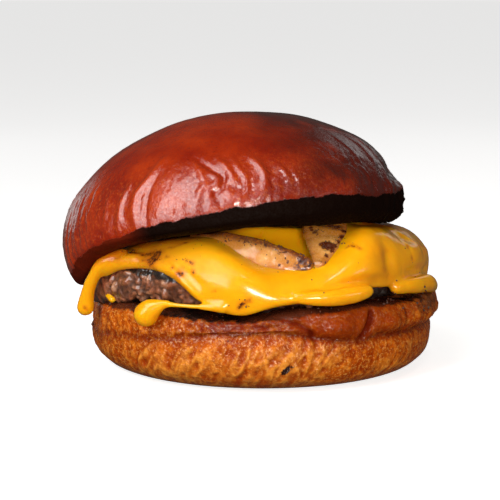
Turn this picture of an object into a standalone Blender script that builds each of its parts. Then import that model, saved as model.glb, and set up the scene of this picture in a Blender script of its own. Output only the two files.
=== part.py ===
"""Cheeseburger on a brioche bun, standing on its heel.

A toasted heel carries a hand-formed beef patty. Two slices of melted cheese drape over the
patty, run down its side in drips and rolled lips, and hold two petals of grilled onion in a
hollow at the front. The domed crown sits askew on top, low at the left and at the back, so
that the filling shows at the front.

Metres, +Z up. The origin is the centre of the heel's flat underside, +X is the burger's
right and -Y is its open front. Angles run about +Z from +X, so 270 degrees is the front.
"""

import math

import bmesh
import bpy
from mathutils import Euler, Vector

MM = 0.001

# Facets
AROUND = 56
DRIP_SIDES = 10
PETAL_SIDES = 10

# Clearance between pieces that rest on each other
GAP = 0.4 * MM

# Bumps round the burger are rows of centre and half width in degrees, and height in millimetres.

# Heel, the lower half of the bun: a rounded base, a crease where it folded, and a toasted band
HEEL_BASE_RADIUS = 40 * MM
HEEL_RADIUS = 55.2 * MM
HEEL_WAIST_BUMPS = ((180, 70, 0.5), (0, 70, -1.2))
HEEL_BAND_BUMPS = ((0, 60, 1.2),)
HEEL_WIDEST_Z = 12.5 * MM
HEEL_BASE_FULLNESS = 0.8
CREASE_Z = 16.5 * MM
CREASE_BUMPS = ((272, 26, 3.0), (197, 26, -2.6))
CREASE_DEPTH = 1.1 * MM
HEEL_TOP_Z = 24 * MM
HEEL_RIM_BUMPS = ((260, 22, -1.6), (196, 30, -1.4), (298, 42, 1.8))
HEEL_RIM_ROUND = 3.2 * MM

# Patty
PATTY_RADIUS = 52 * MM
PATTY_BUMPS = ((350, 60, -2.4),)
PATTY_ROUND_BOTTOM = 4.5 * MM
PATTY_ROUND_TOP = 9 * MM
PATTY_ROUND_TOP_BUMPS = ((350, 60, 6.0),)

# Cheese: a leaning mound over the patty, with a hollow at the front for the onion
CHEESE_TOP_Z = 44.4 * MM
CHEESE_LEAN = (0.08, -0.07)
CHEESE_FALLS_FROM_X = 32 * MM
CHEESE_FALL = 0.2
CHEESE_THICK = 3.6 * MM
HOLLOW_CENTRE = (9 * MM, -46 * MM)
HOLLOW_RADIUS = 19.5 * MM
HOLLOW_DEPTH = 10.5 * MM

# The cheese's lower edge: angle in degrees, then thickness and height in millimetres
HEM = (
    (8, 3.4, 28.5),
    (40, 2.4, 30.5),
    (66, 2.2, 33.0),
    (92, 3.2, 27.0),
    (118, 2.2, 32.0),
    (146, 2.8, 28.0),
    (170, 2.4, 31.5),
    (196, 3.0, 28.5),
    (206, 2.4, 33.2),
    (217, 2.4, 35.2),
    (231, 2.4, 35.4),
    (241, 2.6, 33.0),
    (249, 3.2, 28.8),
    (262, 4.0, 25.8),
    (274, 3.6, 27.2),
    (285, 2.8, 29.0),
    (298, 2.6, 30.8),
    (311, 2.4, 32.4),
    (321, 2.6, 31.0),
    (335, 3.4, 28.6),
    (350, 3.8, 27.8),
)

# Drips and rolled lips of cheese, as chains of x, y, z and radius in millimetres
DRIPS = {
    "left_drip": (
        (-43.5, -28.5, 38.4, 2.4),
        (-49.6, -26.8, 35.8, 2.2),
        (-53.0, -24.2, 31.0, 1.8),
        (-55.0, -21.8, 26.0, 2.2),
        (-55.9, -20.2, 20.8, 2.8),
    ),
    "front_drop": (
        (-35.8, -46.0, 23.0, 3.9),
        (-32.6, -47.4, 25.6, 2.9),
        (-26.0, -50.2, 26.6, 1.7),
        (-18.0, -53.0, 26.0, 1.7),
        (-11.0, -53.6, 26.2, 2.0),
    ),
    "front_tongue": (
        (7.0, -53.4, 28.4, 2.2),
        (15.0, -53.0, 28.9, 2.7),
        (23.0, -50.8, 29.6, 3.1),
        (31.0, -46.2, 30.8, 2.5),
    ),
    "right_lobe": (
        (40.5, -34.0, 28.4, 2.0),
        (46.0, -27.5, 28.6, 2.8),
        (51.0, -17.5, 27.9, 3.0),
        (53.6, -8.0, 25.2, 2.3),
    ),
}

# Onion petals, as chains of x, y, z, half width and half thickness in millimetres. The front one
# stands on its edge and the right one lies back with its broad face up.
FRONT_PETAL = (
    (-22.0, -25.0, 43.6, 0.9, 0.9),
    (-18.0, -31.0, 44.0, 1.7, 1.3),
    (-11.8, -36.6, 43.9, 3.0, 1.7),
    (-4.2, -40.2, 42.6, 3.6, 1.8),
    (3.0, -42.0, 40.9, 3.6, 1.8),
    (8.5, -43.0, 39.6, 3.0, 1.7),
    (12.6, -43.4, 38.8, 1.9, 1.3),
)
FRONT_PETAL_LEAN = 23
RIGHT_PETAL = (
    (16.6, -43.0, 38.9, 1.8, 1.3),
    (17.6, -39.8, 40.9, 3.8, 1.5),
    (18.3, -36.0, 43.2, 5.5, 1.6),
    (18.8, -32.0, 45.4, 6.6, 1.6),
    (19.1, -27.5, 47.3, 6.8, 1.5),
    (19.3, -23.0, 48.5, 5.8, 1.3),
)
RIGHT_PETAL_LEAN = 63
PETAL_TIP = 1.2 * MM

# Crown, the upper half of the bun, in its own frame: z = 0 is its cut face
CROWN_CENTRE = Vector((-9.6, 2.0, 43.0)) * MM
CROWN_ROLL = math.radians(8.5)
CROWN_PITCH = math.radians(8.0)
CROWN_RADIUS = 56 * MM
CROWN_BUMPS = ((180, 70, -0.8),)
CROWN_WIDEST_Z = 2 * MM
CROWN_WIDEST_BUMPS = ((180, 70, -2.0),)
CROWN_TOP_Z = 37.1 * MM
CROWN_FULLNESS = 0.9
CROWN_SAG_BUMPS = ((180, 80, 1.5), (350, 80, 1.5))
LIP_OUTER_RADIUS = 50.5 * MM
LIP_INNER_RADIUS = 44.5 * MM
LIP_DROP = 3.2 * MM
LIP_BUMPS = ((182, 44, 8.0), (252, 60, -3.0), (350, 60, 2.0), (90, 60, -2.2))


def clear_scene():
    for obj in list(bpy.data.objects):
        bpy.data.objects.remove(obj)


def material(name, colour, roughness):
    made = bpy.data.materials.new(name)
    made.use_nodes = True
    shader = made.node_tree.nodes["Principled BSDF"]
    shader.inputs["Base Color"].default_value = (*colour, 1)
    shader.inputs["Roughness"].default_value = roughness
    shader.inputs["Metallic"].default_value = 0
    made.diffuse_color = (*colour, 1)
    return made


# ---------------------------------------------------------------- curves round the burger


def angles():
    return [360 * k / AROUND for k in range(AROUND)]


def at(radius, angle, z=0.0):
    turn = math.radians(angle)
    return Vector((radius * math.cos(turn), radius * math.sin(turn), z))


def bumps(table, angle):
    """Sum of smooth bumps, each its full height at its centre and nothing beyond its half width."""
    total = 0.0
    for centre, half_width, height in table:
        away = abs((angle - centre + 180) % 360 - 180) / half_width
        if away < 1:
            total += height * (0.5 + 0.5 * math.cos(math.pi * away))
    return total * MM


def ripple(angle, count, phase, height):
    return height * math.sin(math.radians(count * angle + phase))


def round_table(table, angle, column):
    """A smooth closed curve through a table's rows, whose first column is the angle."""
    count = len(table)
    after = next((i for i, row in enumerate(table) if row[0] > angle), 0)
    rows = [table[(after + k) % count] for k in (-2, -1, 0, 1)]
    gaps = [(rows[i + 1][0] - rows[i][0]) % 360 for i in range(3)]
    t = ((angle - rows[1][0]) % 360) / gaps[1]
    v = [row[column] for row in rows]
    slope_in = (v[2] - v[0]) / (gaps[0] + gaps[1]) * gaps[1]
    slope_out = (v[3] - v[1]) / (gaps[1] + gaps[2]) * gaps[1]
    return (
        (2 * t**3 - 3 * t**2 + 1) * v[1]
        + (t**3 - 2 * t**2 + t) * slope_in
        + (3 * t**2 - 2 * t**3) * v[2]
        + (t**3 - t**2) * slope_out
    )


def ease(t):
    t = min(max(t, 0.0), 1.0)
    return t * t * (3 - 2 * t)


def soft_min(a, b, blend):
    h = max(blend - abs(a - b), 0) / blend
    return min(a, b) - h * h * blend / 4


# ---------------------------------------------------------------- solids


def loft(name, rings, finish):
    """A closed solid through rings of points. A ring of one point is a pole."""
    mesh = bmesh.new()
    rows = [[mesh.verts.new(point) for point in ring] for ring in rings]
    for low, high in zip(rows, rows[1:]):
        for k in range(max(len(low), len(high))):
            corners = [
                low[k % len(low)],
                low[(k + 1) % len(low)],
                high[(k + 1) % len(high)],
                high[k % len(high)],
            ]
            mesh.faces.new(dict.fromkeys(corners))
    bmesh.ops.triangulate(mesh, faces=mesh.faces)
    if mesh.calc_volume(signed=True) < 0:
        bmesh.ops.reverse_faces(mesh, faces=mesh.faces)
    data = bpy.data.meshes.new(name)
    mesh.to_mesh(data)
    mesh.free()
    data.shade_smooth()
    data.set_sharp_from_angle(angle=math.radians(40))
    data.materials.append(finish)
    obj = bpy.data.objects.new(name, data)
    bpy.context.scene.collection.objects.link(obj)
    return obj


def helper(obj):
    """Marks an object as a cutter or a filler, which is no piece of its own."""
    obj.hide_render = True
    obj.display_type = "WIRE"
    return obj


def clearance(obj):
    """A cutter: the object's shape, grown by the gap that touching pieces keep."""
    data = obj.data.copy()
    normals = [vertex.normal.copy() for vertex in data.vertices]
    for vertex, normal in zip(data.vertices, normals):
        vertex.co += normal * GAP
    grown = bpy.data.objects.new(obj.name + "_clearance", data)
    bpy.context.scene.collection.objects.link(grown)
    return helper(grown)


def boolean(obj, operation, other):
    modifier = obj.modifiers.new(other.name, "BOOLEAN")
    modifier.operation = operation
    modifier.object = other
    modifier.solver = "EXACT"


# ---------------------------------------------------------------- heel


def heel_surface(radius, angle):
    """Height of the toasted top face: level in the middle, following the rim outside."""
    return HEEL_TOP_Z + bumps(HEEL_RIM_BUMPS, angle) * ease(2 * radius / HEEL_RADIUS - 0.9)


def heel_profile(angle):
    """Radius and height up the heel's side, from its flat base to its top face."""
    radius = HEEL_RADIUS + ripple(angle, 3, 40, 0.3 * MM)
    waist = radius + bumps(HEEL_WAIST_BUMPS, angle)
    points = [(HEEL_BASE_RADIUS * 0.5, 0), (HEEL_BASE_RADIUS, 0)]
    for degrees in (18, 36, 54, 72, 90):
        out = math.sin(math.radians(degrees)) ** HEEL_BASE_FULLNESS
        up = 1 - max(math.cos(math.radians(degrees)), 0) ** HEEL_BASE_FULLNESS
        points.append((HEEL_BASE_RADIUS + (waist - HEEL_BASE_RADIUS) * out, HEEL_WIDEST_Z * up))
    crease = CREASE_Z + bumps(CREASE_BUMPS, angle)
    points.append((waist - CREASE_DEPTH, crease))
    radius += bumps(HEEL_BAND_BUMPS, angle)
    top = heel_surface(radius, angle)
    rim = HEEL_RIM_ROUND
    points.append((radius, crease + 0.45 * (top - rim - crease)))
    for degrees in (0, 30, 60, 90):
        turn = math.radians(degrees)
        points.append((radius - rim * (1.1 - math.cos(turn)), top - rim * (1 - math.sin(turn))))
    for share in (0.8, 0.45):
        points.append((radius * share, heel_surface(radius * share, angle)))
    return points


def build_heel(finish):
    profiles = [heel_profile(angle) for angle in angles()]
    rings = [[Vector((0, 0, 0))]]
    for row in zip(*profiles):
        rings.append([at(radius, a, z) for (radius, z), a in zip(row, angles())])
    rings.append([Vector((0, 0, HEEL_TOP_Z))])
    return loft("bun_heel", rings, finish)


# ---------------------------------------------------------------- crown


def crown_matrix():
    turn = Euler((0, -CROWN_ROLL, 0)).to_matrix() @ Euler((-CROWN_PITCH, 0, 0)).to_matrix()
    placed = turn.to_4x4()
    placed.translation = CROWN_CENTRE
    return placed


def lip_drop(angle):
    """How far the crown's edge hangs below its own cut face."""
    return LIP_DROP + bumps(LIP_BUMPS, angle)


def crown_underside(x, y):
    """Height of the crown's underside over a point, and None beyond its edge."""
    x -= CROWN_CENTRE.x
    y -= CROWN_CENTRE.y
    radius = math.hypot(x, y)
    if radius > CROWN_RADIUS:
        return None
    cut_face = CROWN_CENTRE.z + math.tan(CROWN_ROLL) * x
    cut_face -= math.tan(CROWN_PITCH) * y / math.cos(CROWN_ROLL)
    reach = ease((radius - LIP_INNER_RADIUS + 3 * MM) / (4 * MM))
    return cut_face - lip_drop(math.degrees(math.atan2(y, x)) % 360) * reach


def crown_profile(angle):
    """Radius and height from the underside, round the lip and up the dome."""
    drop = lip_drop(angle)
    radius = CROWN_RADIUS + ripple(angle, 2, 120, 0.3 * MM) + bumps(CROWN_BUMPS, angle)
    widest = CROWN_WIDEST_Z + bumps(CROWN_WIDEST_BUMPS, angle)
    points = [
        (LIP_INNER_RADIUS * 0.5, 0),
        (LIP_INNER_RADIUS, -0.1 * drop),
        (LIP_INNER_RADIUS + 2.5 * MM, -0.75 * drop),
    ]
    for degrees in (0, 30, 60, 90):
        turn = math.radians(degrees)
        out = (radius - LIP_OUTER_RADIUS) * math.sin(turn)
        points.append((LIP_OUTER_RADIUS + out, widest - (widest + drop) * math.cos(turn)))
    for degrees in (12, 24, 36, 48, 60, 72, 82):
        turn = math.radians(degrees)
        sag = bumps(CROWN_SAG_BUMPS, angle) * math.sin(2 * turn)
        height = widest + (CROWN_TOP_Z - widest) * math.sin(turn) - sag
        points.append((radius * math.cos(turn) ** CROWN_FULLNESS, height))
    return points


def build_crown(finish):
    placed = crown_matrix()
    profiles = [crown_profile(angle) for angle in angles()]
    rings = [[placed @ Vector((0, 0, 0))]]
    for row in zip(*profiles):
        rings.append([placed @ at(radius, a, z) for (radius, z), a in zip(row, angles())])
    rings.append([placed @ Vector((0, 0, CROWN_TOP_Z))])
    return loft("bun_crown", rings, finish)


# ---------------------------------------------------------------- patty


def onion_hollow(x, y):
    away = math.hypot(x - HOLLOW_CENTRE[0], y - HOLLOW_CENTRE[1]) / HOLLOW_RADIUS
    return HOLLOW_DEPTH * math.exp(-(away**3))


def cheese_top(x, y):
    """Height of the cheese over a point: the mound, pressed by the crown where that is lower."""
    mound = CHEESE_TOP_Z + CHEESE_LEAN[0] * x + CHEESE_LEAN[1] * y - onion_hollow(x, y)
    mound -= CHEESE_FALL * max(x - CHEESE_FALLS_FROM_X, 0)
    under = crown_underside(x, y)
    if under is None:
        return mound
    return soft_min(mound, under - 1.5 * GAP, 1.5 * MM)


def cheese_depth(x, y):
    return CHEESE_THICK + 0.3 * onion_hollow(x, y)


def patty_at(radius, share, angle, offset=0.0):
    """A point between the patty's lower face, share -1, and its upper face, share 1."""
    point = at(radius, angle)
    low = heel_surface(radius, angle) + GAP
    high = cheese_top(point.x, point.y) - cheese_depth(point.x, point.y)
    point.z = low + (high - low) * (1 + share) / 2 + offset * share
    return point


def patty_radius(angle):
    wobble = ripple(angle, 4, 10, 0.5 * MM) + ripple(angle, 7, 90, 0.4 * MM)
    return PATTY_RADIUS + wobble + bumps(PATTY_BUMPS, angle)


def patty_shoulder(angle):
    """Radius at which the patty's upper face starts to round over."""
    return patty_radius(angle) - PATTY_ROUND_TOP - bumps(PATTY_ROUND_TOP_BUMPS, angle)


def patty_rim(lift, angle, offset=0.0):
    """A point of the rounded rim. lift runs from -90, at the lower face, to 90, at the upper face."""
    turn = math.radians(lift)
    radius = patty_radius(angle)
    rounding = radius - patty_shoulder(angle) if lift > 0 else PATTY_ROUND_BOTTOM
    radius += offset * math.cos(turn) - rounding * (1 - math.cos(turn))
    return patty_at(radius, math.sin(turn), angle, offset)


def build_patty(finish):
    bottom = PATTY_RADIUS - PATTY_ROUND_BOTTOM
    rings = [[patty_at(0, -1, 0)]]
    rings += [[patty_at(bottom * share, -1, a) for a in angles()] for share in (0.35, 0.7, 0.9)]
    rings += [[patty_rim(lift, a) for a in angles()] for lift in range(-90, 91, 30)]
    for share in (0.85, 0.6, 0.3):
        rings.append([patty_at(patty_shoulder(a) * share, 1, a) for a in angles()])
    rings.append([patty_at(0, 1, 0)])
    return loft("beef_patty", rings, finish)


# ---------------------------------------------------------------- cheese


def hem_lift(angle):
    """How high on the patty's rim the cheese ends, as a lift in degrees."""
    low = patty_rim(-90, angle).z
    high = patty_rim(60, angle).z
    share = 2 * (round_table(HEM, angle, 2) * MM - low) / (high - low) - 1
    return math.degrees(math.asin(min(max(share, -0.85), 0.85)))


def cheese_skin(share, angle):
    """A point of the cheese's outer face: share runs from 0, at its shoulder, to 1, at its hem."""
    lift = 90 + (hem_lift(angle) - 90) * share
    shoulder = patty_rim(90, angle)
    depth = cheese_depth(shoulder.x, shoulder.y)
    hem = round_table(HEM, angle, 1) * MM
    return patty_rim(lift, angle, depth + (hem - depth) * ease(share * 1.3))


def build_cheese_sheet(finish):
    """The draped slices, closed below by a face inside the patty, which is cut away later."""
    rings = [[Vector((0, 0, cheese_top(0, 0)))]]
    for share in (0.3, 0.6, 0.85):
        ring = [at(patty_shoulder(a) * share, a) for a in angles()]
        for point in ring:
            point.z = cheese_top(point.x, point.y)
        rings.append(ring)
    for step in range(7):
        rings.append([cheese_skin(step / 6, a) for a in angles()])
    tucked = [patty_rim(hem_lift(a) - 4, a, -3 * MM) for a in angles()]
    rolled = [low.lerp(hem, 0.6) for low, hem in zip(tucked, rings[-1])]
    for point in rolled:
        point.z -= 1 * MM
    rings += [rolled, tucked, [patty_at(0, 0, 0)]]
    return loft("melted_cheese", rings, finish)


def chain(points, per_span):
    """A smooth line through rows of numbers, as a Catmull-Rom spline in every column."""
    rows = [points[0], *points, points[-1]]
    line = []
    for i in range(len(points) - 1):
        for step in range(per_span):
            t = step / per_span
            weights = (
                0.5 * (-t + 2 * t**2 - t**3),
                0.5 * (2 - 5 * t**2 + 3 * t**3),
                0.5 * (t + 4 * t**2 - 3 * t**3),
                0.5 * (t**3 - t**2),
            )
            columns = zip(*rows[i : i + 4])
            line.append([sum(w * v for w, v in zip(weights, column)) for column in columns])
    line.append(points[-1])
    return [[value * MM for value in row] for row in line]


def drip(name, points, finish):
    """A round-ended run of cheese along a chain of x, y, z and radius."""
    path = [(Vector(row[:3]), row[3]) for row in chain(points, 3)]
    (start, start_radius), (end, end_radius) = path[0], path[-1]
    back = (start - path[1][0]).normalized() * start_radius
    on = (end - path[-2][0]).normalized() * end_radius
    caps = [(math.sin(turn), math.cos(turn)) for turn in map(math.radians, (60, 25))]
    path = [(start + back * out, start_radius * thin) for out, thin in caps] + path
    path += [(end + on * out, end_radius * thin) for out, thin in reversed(caps)]
    rings = [[start + back]]
    for i, (centre, radius) in enumerate(path):
        ahead = path[min(i + 1, len(path) - 1)][0] - path[max(i - 1, 0)][0]
        side = ahead.cross(Vector((centre.x, centre.y, 0))).normalized()
        up = side.cross(ahead).normalized()
        ring = []
        for k in range(DRIP_SIDES):
            turn = 2 * math.pi * k / DRIP_SIDES
            ring.append(centre + radius * (math.cos(turn) * side + math.sin(turn) * up))
        rings.append(ring)
    rings.append([end + on])
    return helper(loft(name, rings, finish))


# ---------------------------------------------------------------- onion


def petal(name, points, lean, finish):
    """A curved strip of onion with rounded edges, leaning back from upright by lean degrees."""
    line = chain(points, 2)
    centres = [Vector(row[:3]) for row in line]
    lean = math.radians(lean)
    rings = [[centres[0] + (centres[0] - centres[1]).normalized() * PETAL_TIP]]
    for i, (centre, row) in enumerate(zip(centres, line)):
        ahead = (centres[min(i + 1, len(line) - 1)] - centres[max(i - 1, 0)]).normalized()
        if lean < math.radians(45):
            out = ahead.cross(Vector((0, 0, 1))).normalized()
            wide = Vector((0, 0, math.cos(lean))) - out * math.sin(lean)
        else:
            wide = ahead.cross(Vector((0, -math.cos(lean), math.sin(lean)))).normalized()
        thin = ahead.cross(wide).normalized()
        ring = []
        for k in range(PETAL_SIDES):
            c = math.cos(2 * math.pi * k / PETAL_SIDES)
            s = math.sin(2 * math.pi * k / PETAL_SIDES)
            across = math.copysign(abs(c) ** 0.7, c) * row[3]
            through = math.copysign(abs(s) ** 0.7, s) * row[4]
            ring.append(centre + wide * across + thin * through)
        rings.append(ring)
    rings.append([centres[-1] + (centres[-1] - centres[-2]).normalized() * PETAL_TIP])
    return loft(name, rings, finish)


# ---------------------------------------------------------------- the burger


def build():
    clear_scene()
    crust = material("brioche_crust", (0.30, 0.035, 0.008), 0.32)
    heel_crust = material("heel_crust", (0.55, 0.17, 0.035), 0.45)
    grilled_beef = material("grilled_beef", (0.14, 0.065, 0.035), 0.4)
    melted = material("melted_cheese", (0.95, 0.50, 0.03), 0.3)
    grilled_onion = material("grilled_onion", (0.62, 0.36, 0.18), 0.35)

    heel = build_heel(heel_crust)
    patty = build_patty(grilled_beef)
    crown = build_crown(crust)
    petals = [
        petal("onion_petal_front", FRONT_PETAL, FRONT_PETAL_LEAN, grilled_onion),
        petal("onion_petal_right", RIGHT_PETAL, RIGHT_PETAL_LEAN, grilled_onion),
    ]
    cheese = build_cheese_sheet(melted)
    for name, points in DRIPS.items():
        boolean(cheese, "UNION", drip(name, points, melted))
    for neighbour in (heel, patty, crown, *petals):
        boolean(cheese, "DIFFERENCE", clearance(neighbour))


build()
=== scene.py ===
import math

import bmesh
import bpy
import numpy as np
from mathutils import Euler, Matrix, Vector, noise
from mathutils.bvhtree import BVHTree


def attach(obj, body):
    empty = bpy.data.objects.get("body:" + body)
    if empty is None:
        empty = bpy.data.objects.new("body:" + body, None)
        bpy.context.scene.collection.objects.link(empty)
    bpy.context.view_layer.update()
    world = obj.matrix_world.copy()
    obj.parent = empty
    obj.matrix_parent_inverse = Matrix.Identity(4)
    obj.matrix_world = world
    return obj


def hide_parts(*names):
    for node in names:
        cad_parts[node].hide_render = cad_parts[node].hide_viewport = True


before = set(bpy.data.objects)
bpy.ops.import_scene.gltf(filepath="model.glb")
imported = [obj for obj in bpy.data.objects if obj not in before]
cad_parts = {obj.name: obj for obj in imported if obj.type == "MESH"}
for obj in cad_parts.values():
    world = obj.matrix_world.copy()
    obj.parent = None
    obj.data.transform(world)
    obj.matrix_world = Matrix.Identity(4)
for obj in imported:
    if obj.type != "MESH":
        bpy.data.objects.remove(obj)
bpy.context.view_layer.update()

# ================================================================ table and light
# The burger stands on a pale, smooth table with a pale backdrop far off all round. A tall window is
# at the front left, and a low lamp in front shines in under the crown. Weak ones light the glaze
# from above the front, the right side, and the outline from behind at both sides.

MM = 0.001
BURGER_MIDDLE = Vector((-4.2, 0, 36)) * MM
CAMERA_HEIGHT_ANGLE = 8.5
CAMERA_DISTANCE = 0.62
CAMERA_LENS = 137.94  # millimetres, as is the width of the sensor
CAMERA_SENSOR = 36
TABLE_REACH = 14.0
TABLE_TOP_Z = -0.2 * MM
BACKDROP_DISTANCE = 6.0


def stand_camera():
    tilt = math.radians(CAMERA_HEIGHT_ANGLE)
    camera = bpy.data.cameras.new("camera")
    camera.lens = CAMERA_LENS
    camera.sensor_width = CAMERA_SENSOR
    tripod = bpy.data.objects.new("camera", camera)
    tripod.location = BURGER_MIDDLE + CAMERA_DISTANCE * Vector((0, -math.cos(tilt), math.sin(tilt)))
    tripod.rotation_euler = (math.radians(90) - tilt, 0, 0)
    bpy.context.scene.collection.objects.link(tripod)
    bpy.context.scene.camera = tripod


def soft_light(name, side_angle, height_angle, distance, width, height, power, colour=(1, 1, 1)):
    """A rectangular lamp that faces the burger. The side angle runs from the front to the right."""
    side, up = math.radians(side_angle), math.radians(height_angle)
    direction = Vector((math.sin(side) * math.cos(up), -math.cos(side) * math.cos(up), math.sin(up)))
    lamp = bpy.data.lights.new(name, "AREA")
    lamp.shape = "RECTANGLE"
    lamp.size, lamp.size_y = width, height
    lamp.energy = power
    lamp.color = colour
    stand = bpy.data.objects.new(name, lamp)
    stand.location = BURGER_MIDDLE + direction * distance
    stand.rotation_euler = direction.to_track_quat("Z", "Y").to_euler()
    bpy.context.scene.collection.objects.link(stand)


def pale_paint():
    paint = bpy.data.materials.new("pale table")
    paint.use_nodes = True
    shader = paint.node_tree.nodes["Principled BSDF"]
    shader.inputs["Base Color"].default_value = (0.93, 0.92, 0.91, 1)
    shader.inputs["Roughness"].default_value = 0.6
    shader.inputs["Emission Color"].default_value = (1, 1, 1, 1)
    shader.inputs["Emission Strength"].default_value = 0.72
    return paint


def surface_round_burger(name, points, faces, paint, unseen_by):
    """A plain surface that some kinds of rays pass through, so that it doesn't light the burger."""
    mesh = bpy.data.meshes.new(name)
    mesh.from_pydata(points, [], faces)
    mesh.materials.append(paint)
    surface = bpy.data.objects.new(name, mesh)
    for rays in unseen_by:
        setattr(surface, "visible_" + rays, False)
    bpy.context.scene.collection.objects.link(surface)
    return surface


stand_camera()
bpy.context.scene.view_settings.view_transform = "Standard"

room = bpy.data.worlds.new("pale room")
room.use_nodes = True
room.node_tree.nodes["Background"].inputs["Color"].default_value = (1, 0.95, 0.88, 1)
room.node_tree.nodes["Background"].inputs["Strength"].default_value = 0.07
bpy.context.scene.world = room

soft_light("tall_window", -43, 34, 0.75, 0.44, 0.95, 6.6)
soft_light("softbox_front", 12, 52, 0.90, 0.14, 0.10, 0.6)
soft_light("low_front", 9, 8.0, 0.90, 0.30, 0.09, 6.3, (1, 0.93, 0.84))
soft_light("low_right", 60, 8, 0.90, 0.30, 0.20, 0.5)
soft_light("rim_right", 154, 22, 0.90, 0.25, 0.30, 0.14)
soft_light("rim_left", -150, 3, 0.90, 0.25, 0.20, 0.12)

paint = pale_paint()
corners = [(-1, -1), (1, -1), (1, 1), (-1, 1)]
corners = [(x * TABLE_REACH, y * TABLE_REACH, 0) for x, y in corners]
table = surface_round_burger("table", corners, [(0, 1, 2, 3)], paint, ("diffuse", "glossy"))
table.location.z = TABLE_TOP_Z

turns = np.radians(np.arange(0, 360, 7.5))
foot = [(math.cos(turn) * BACKDROP_DISTANCE, math.sin(turn) * BACKDROP_DISTANCE, -1 * MM) for turn in turns]
head = [(x, y, BACKDROP_DISTANCE) for x, y, _ in foot]
count = len(turns)
sides = [(i, (i + 1) % count, count + (i + 1) % count, count + i) for i in range(count)]
all_but_camera = ("diffuse", "glossy", "transmission", "shadow")
backdrop = surface_round_burger("backdrop", foot + head, sides, paint, all_but_camera)

# ================================================================ heel, the lower half of the bun
# Brioche dough, baked on a sheet: a flat base, round bulging sides, and a crease where the dough
# folded. Its cut edge was toasted on the grill, so the top of the band is dark and the rim is black.

AROUND = 680
ANGLES = np.arange(AROUND) * 360 / AROUND


def bumps(table, angle=ANGLES):
    """Sum of smooth bumps: rows of centre and half width in degrees, and height in millimetres."""
    total = np.zeros_like(angle)
    for centre, half_width, height in table:
        away = np.abs((angle - centre + 180) % 360 - 180) / half_width
        total += np.where(away < 1, height * (0.5 + 0.5 * np.cos(np.pi * np.minimum(away, 1))), 0)
    return total * MM


def ripple(angle, count, phase, height):
    return height * np.sin(np.radians(count * angle + phase))


def ease(t):
    t = np.clip(t, 0, 1)
    return t * t * (3 - 2 * t)


def rings(radius, z, angle=ANGLES):
    """Points round the burger at a radius and a height, either of which may change with the angle."""
    turn = np.radians(angle)
    radius, z = np.broadcast_to(radius, angle.shape), np.broadcast_to(z, angle.shape)
    return np.stack([radius * np.cos(turn), radius * np.sin(turn), z], -1)


def smooth_rows(rows, spacing):
    """Rings added between a few rings, on a smooth curve through each line of points."""
    rows = np.array(rows)
    chord = np.linalg.norm(np.diff(rows, axis=0), axis=-1).mean(1)
    knots = np.concatenate([[0], np.cumsum(np.sqrt(chord))])
    slope = np.diff(rows, axis=0) / np.diff(knots)[:, None, None]
    gap = np.diff(knots)[:, None, None]
    bend = (slope[:-1] * gap[1:] + slope[1:] * gap[:-1]) / (gap[:-1] + gap[1:])
    tangent = np.concatenate([slope[:1], bend, slope[-1:]])
    out = []
    for i, length in enumerate(chord):
        steps = max(1, round(length / spacing))
        for step in range(steps):
            t = step / steps
            out.append(
                (2 * t**3 - 3 * t**2 + 1) * rows[i]
                + (t**3 - 2 * t**2 + t) * gap[i] * tangent[i]
                + (3 * t**2 - 2 * t**3) * rows[i + 1]
                + (t**3 - t**2) * gap[i] * tangent[i + 1]
            )
    out.append(rows[-1])
    return np.array(out)


def skin(name, rows, low_pole, high_pole):
    """A closed mesh through rings of points, with a fan to one point at either end."""
    count, around = rows.shape[:2]
    points = np.concatenate([rows.reshape(-1, 3), [low_pole, high_pole]])
    row, k = np.mgrid[0 : count - 1, 0:around]
    here, following = row * around + k, row * around + (k + 1) % around
    quads = np.stack([here, following, following + around, here + around], -1).reshape(-1, 4)
    k = np.arange(around)
    low, high = count * around, count * around + 1
    last = (count - 1) * around
    fans = [np.stack([(k + 1) % around, k, np.full(around, low)], -1)]
    fans.append(np.stack([last + k, last + (k + 1) % around, np.full(around, high)], -1))
    faces = quads.tolist() + fans[0].tolist() + fans[1].tolist()
    return piece_of(name, points, faces)


def piece_of(name, points, faces):
    mesh = bpy.data.meshes.new(name)
    mesh.from_pydata(points.tolist(), [], faces)
    mesh.shade_smooth()
    piece = bpy.data.objects.new(name, mesh)
    bpy.context.scene.collection.objects.link(piece)
    return piece


def points_of(piece):
    flat = np.empty(len(piece.data.vertices) * 3, np.float32)
    piece.data.vertices.foreach_get("co", flat)
    return flat.reshape(-1, 3).astype(float)


def bearing(points):
    """Each point's angle round the burger, in degrees from its right side."""
    return np.degrees(np.arctan2(points[:, 1], points[:, 0])) % 360


def move_to(piece, points):
    piece.data.vertices.foreach_set("co", points.astype(np.float32).ravel())
    piece.data.update()


def lift(piece, heights):
    """Moves each point of a piece out along its normal."""
    normals = np.empty(len(piece.data.vertices) * 3, np.float32)
    piece.data.vertex_normals.foreach_get("vector", normals)
    move_to(piece, points_of(piece) + normals.reshape(-1, 3) * heights[:, None])


def mark(piece, name, values):
    """Keeps a share from 0 to 1 at each point of a piece, for its material."""
    layer = piece.data.attributes.new(name, "FLOAT", "POINT")
    layer.data.foreach_set("value", np.clip(values, 0, 1).astype(np.float32))


def lumps(points, size, octaves=3, start=0.0):
    """Uneven lumps, from about -1 to 1, whose largest are `size` across."""
    spread = points / np.asarray(size) + start
    return np.array([noise.fractal(Vector(p), 1.0, 2.0, octaves) for p in spread])


def drift(points, size, starts):
    """Three sets of lumps, as shares of a distance to move each point by."""
    return np.stack([lumps(points, size, 2, start) for start in starts], -1)


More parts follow.
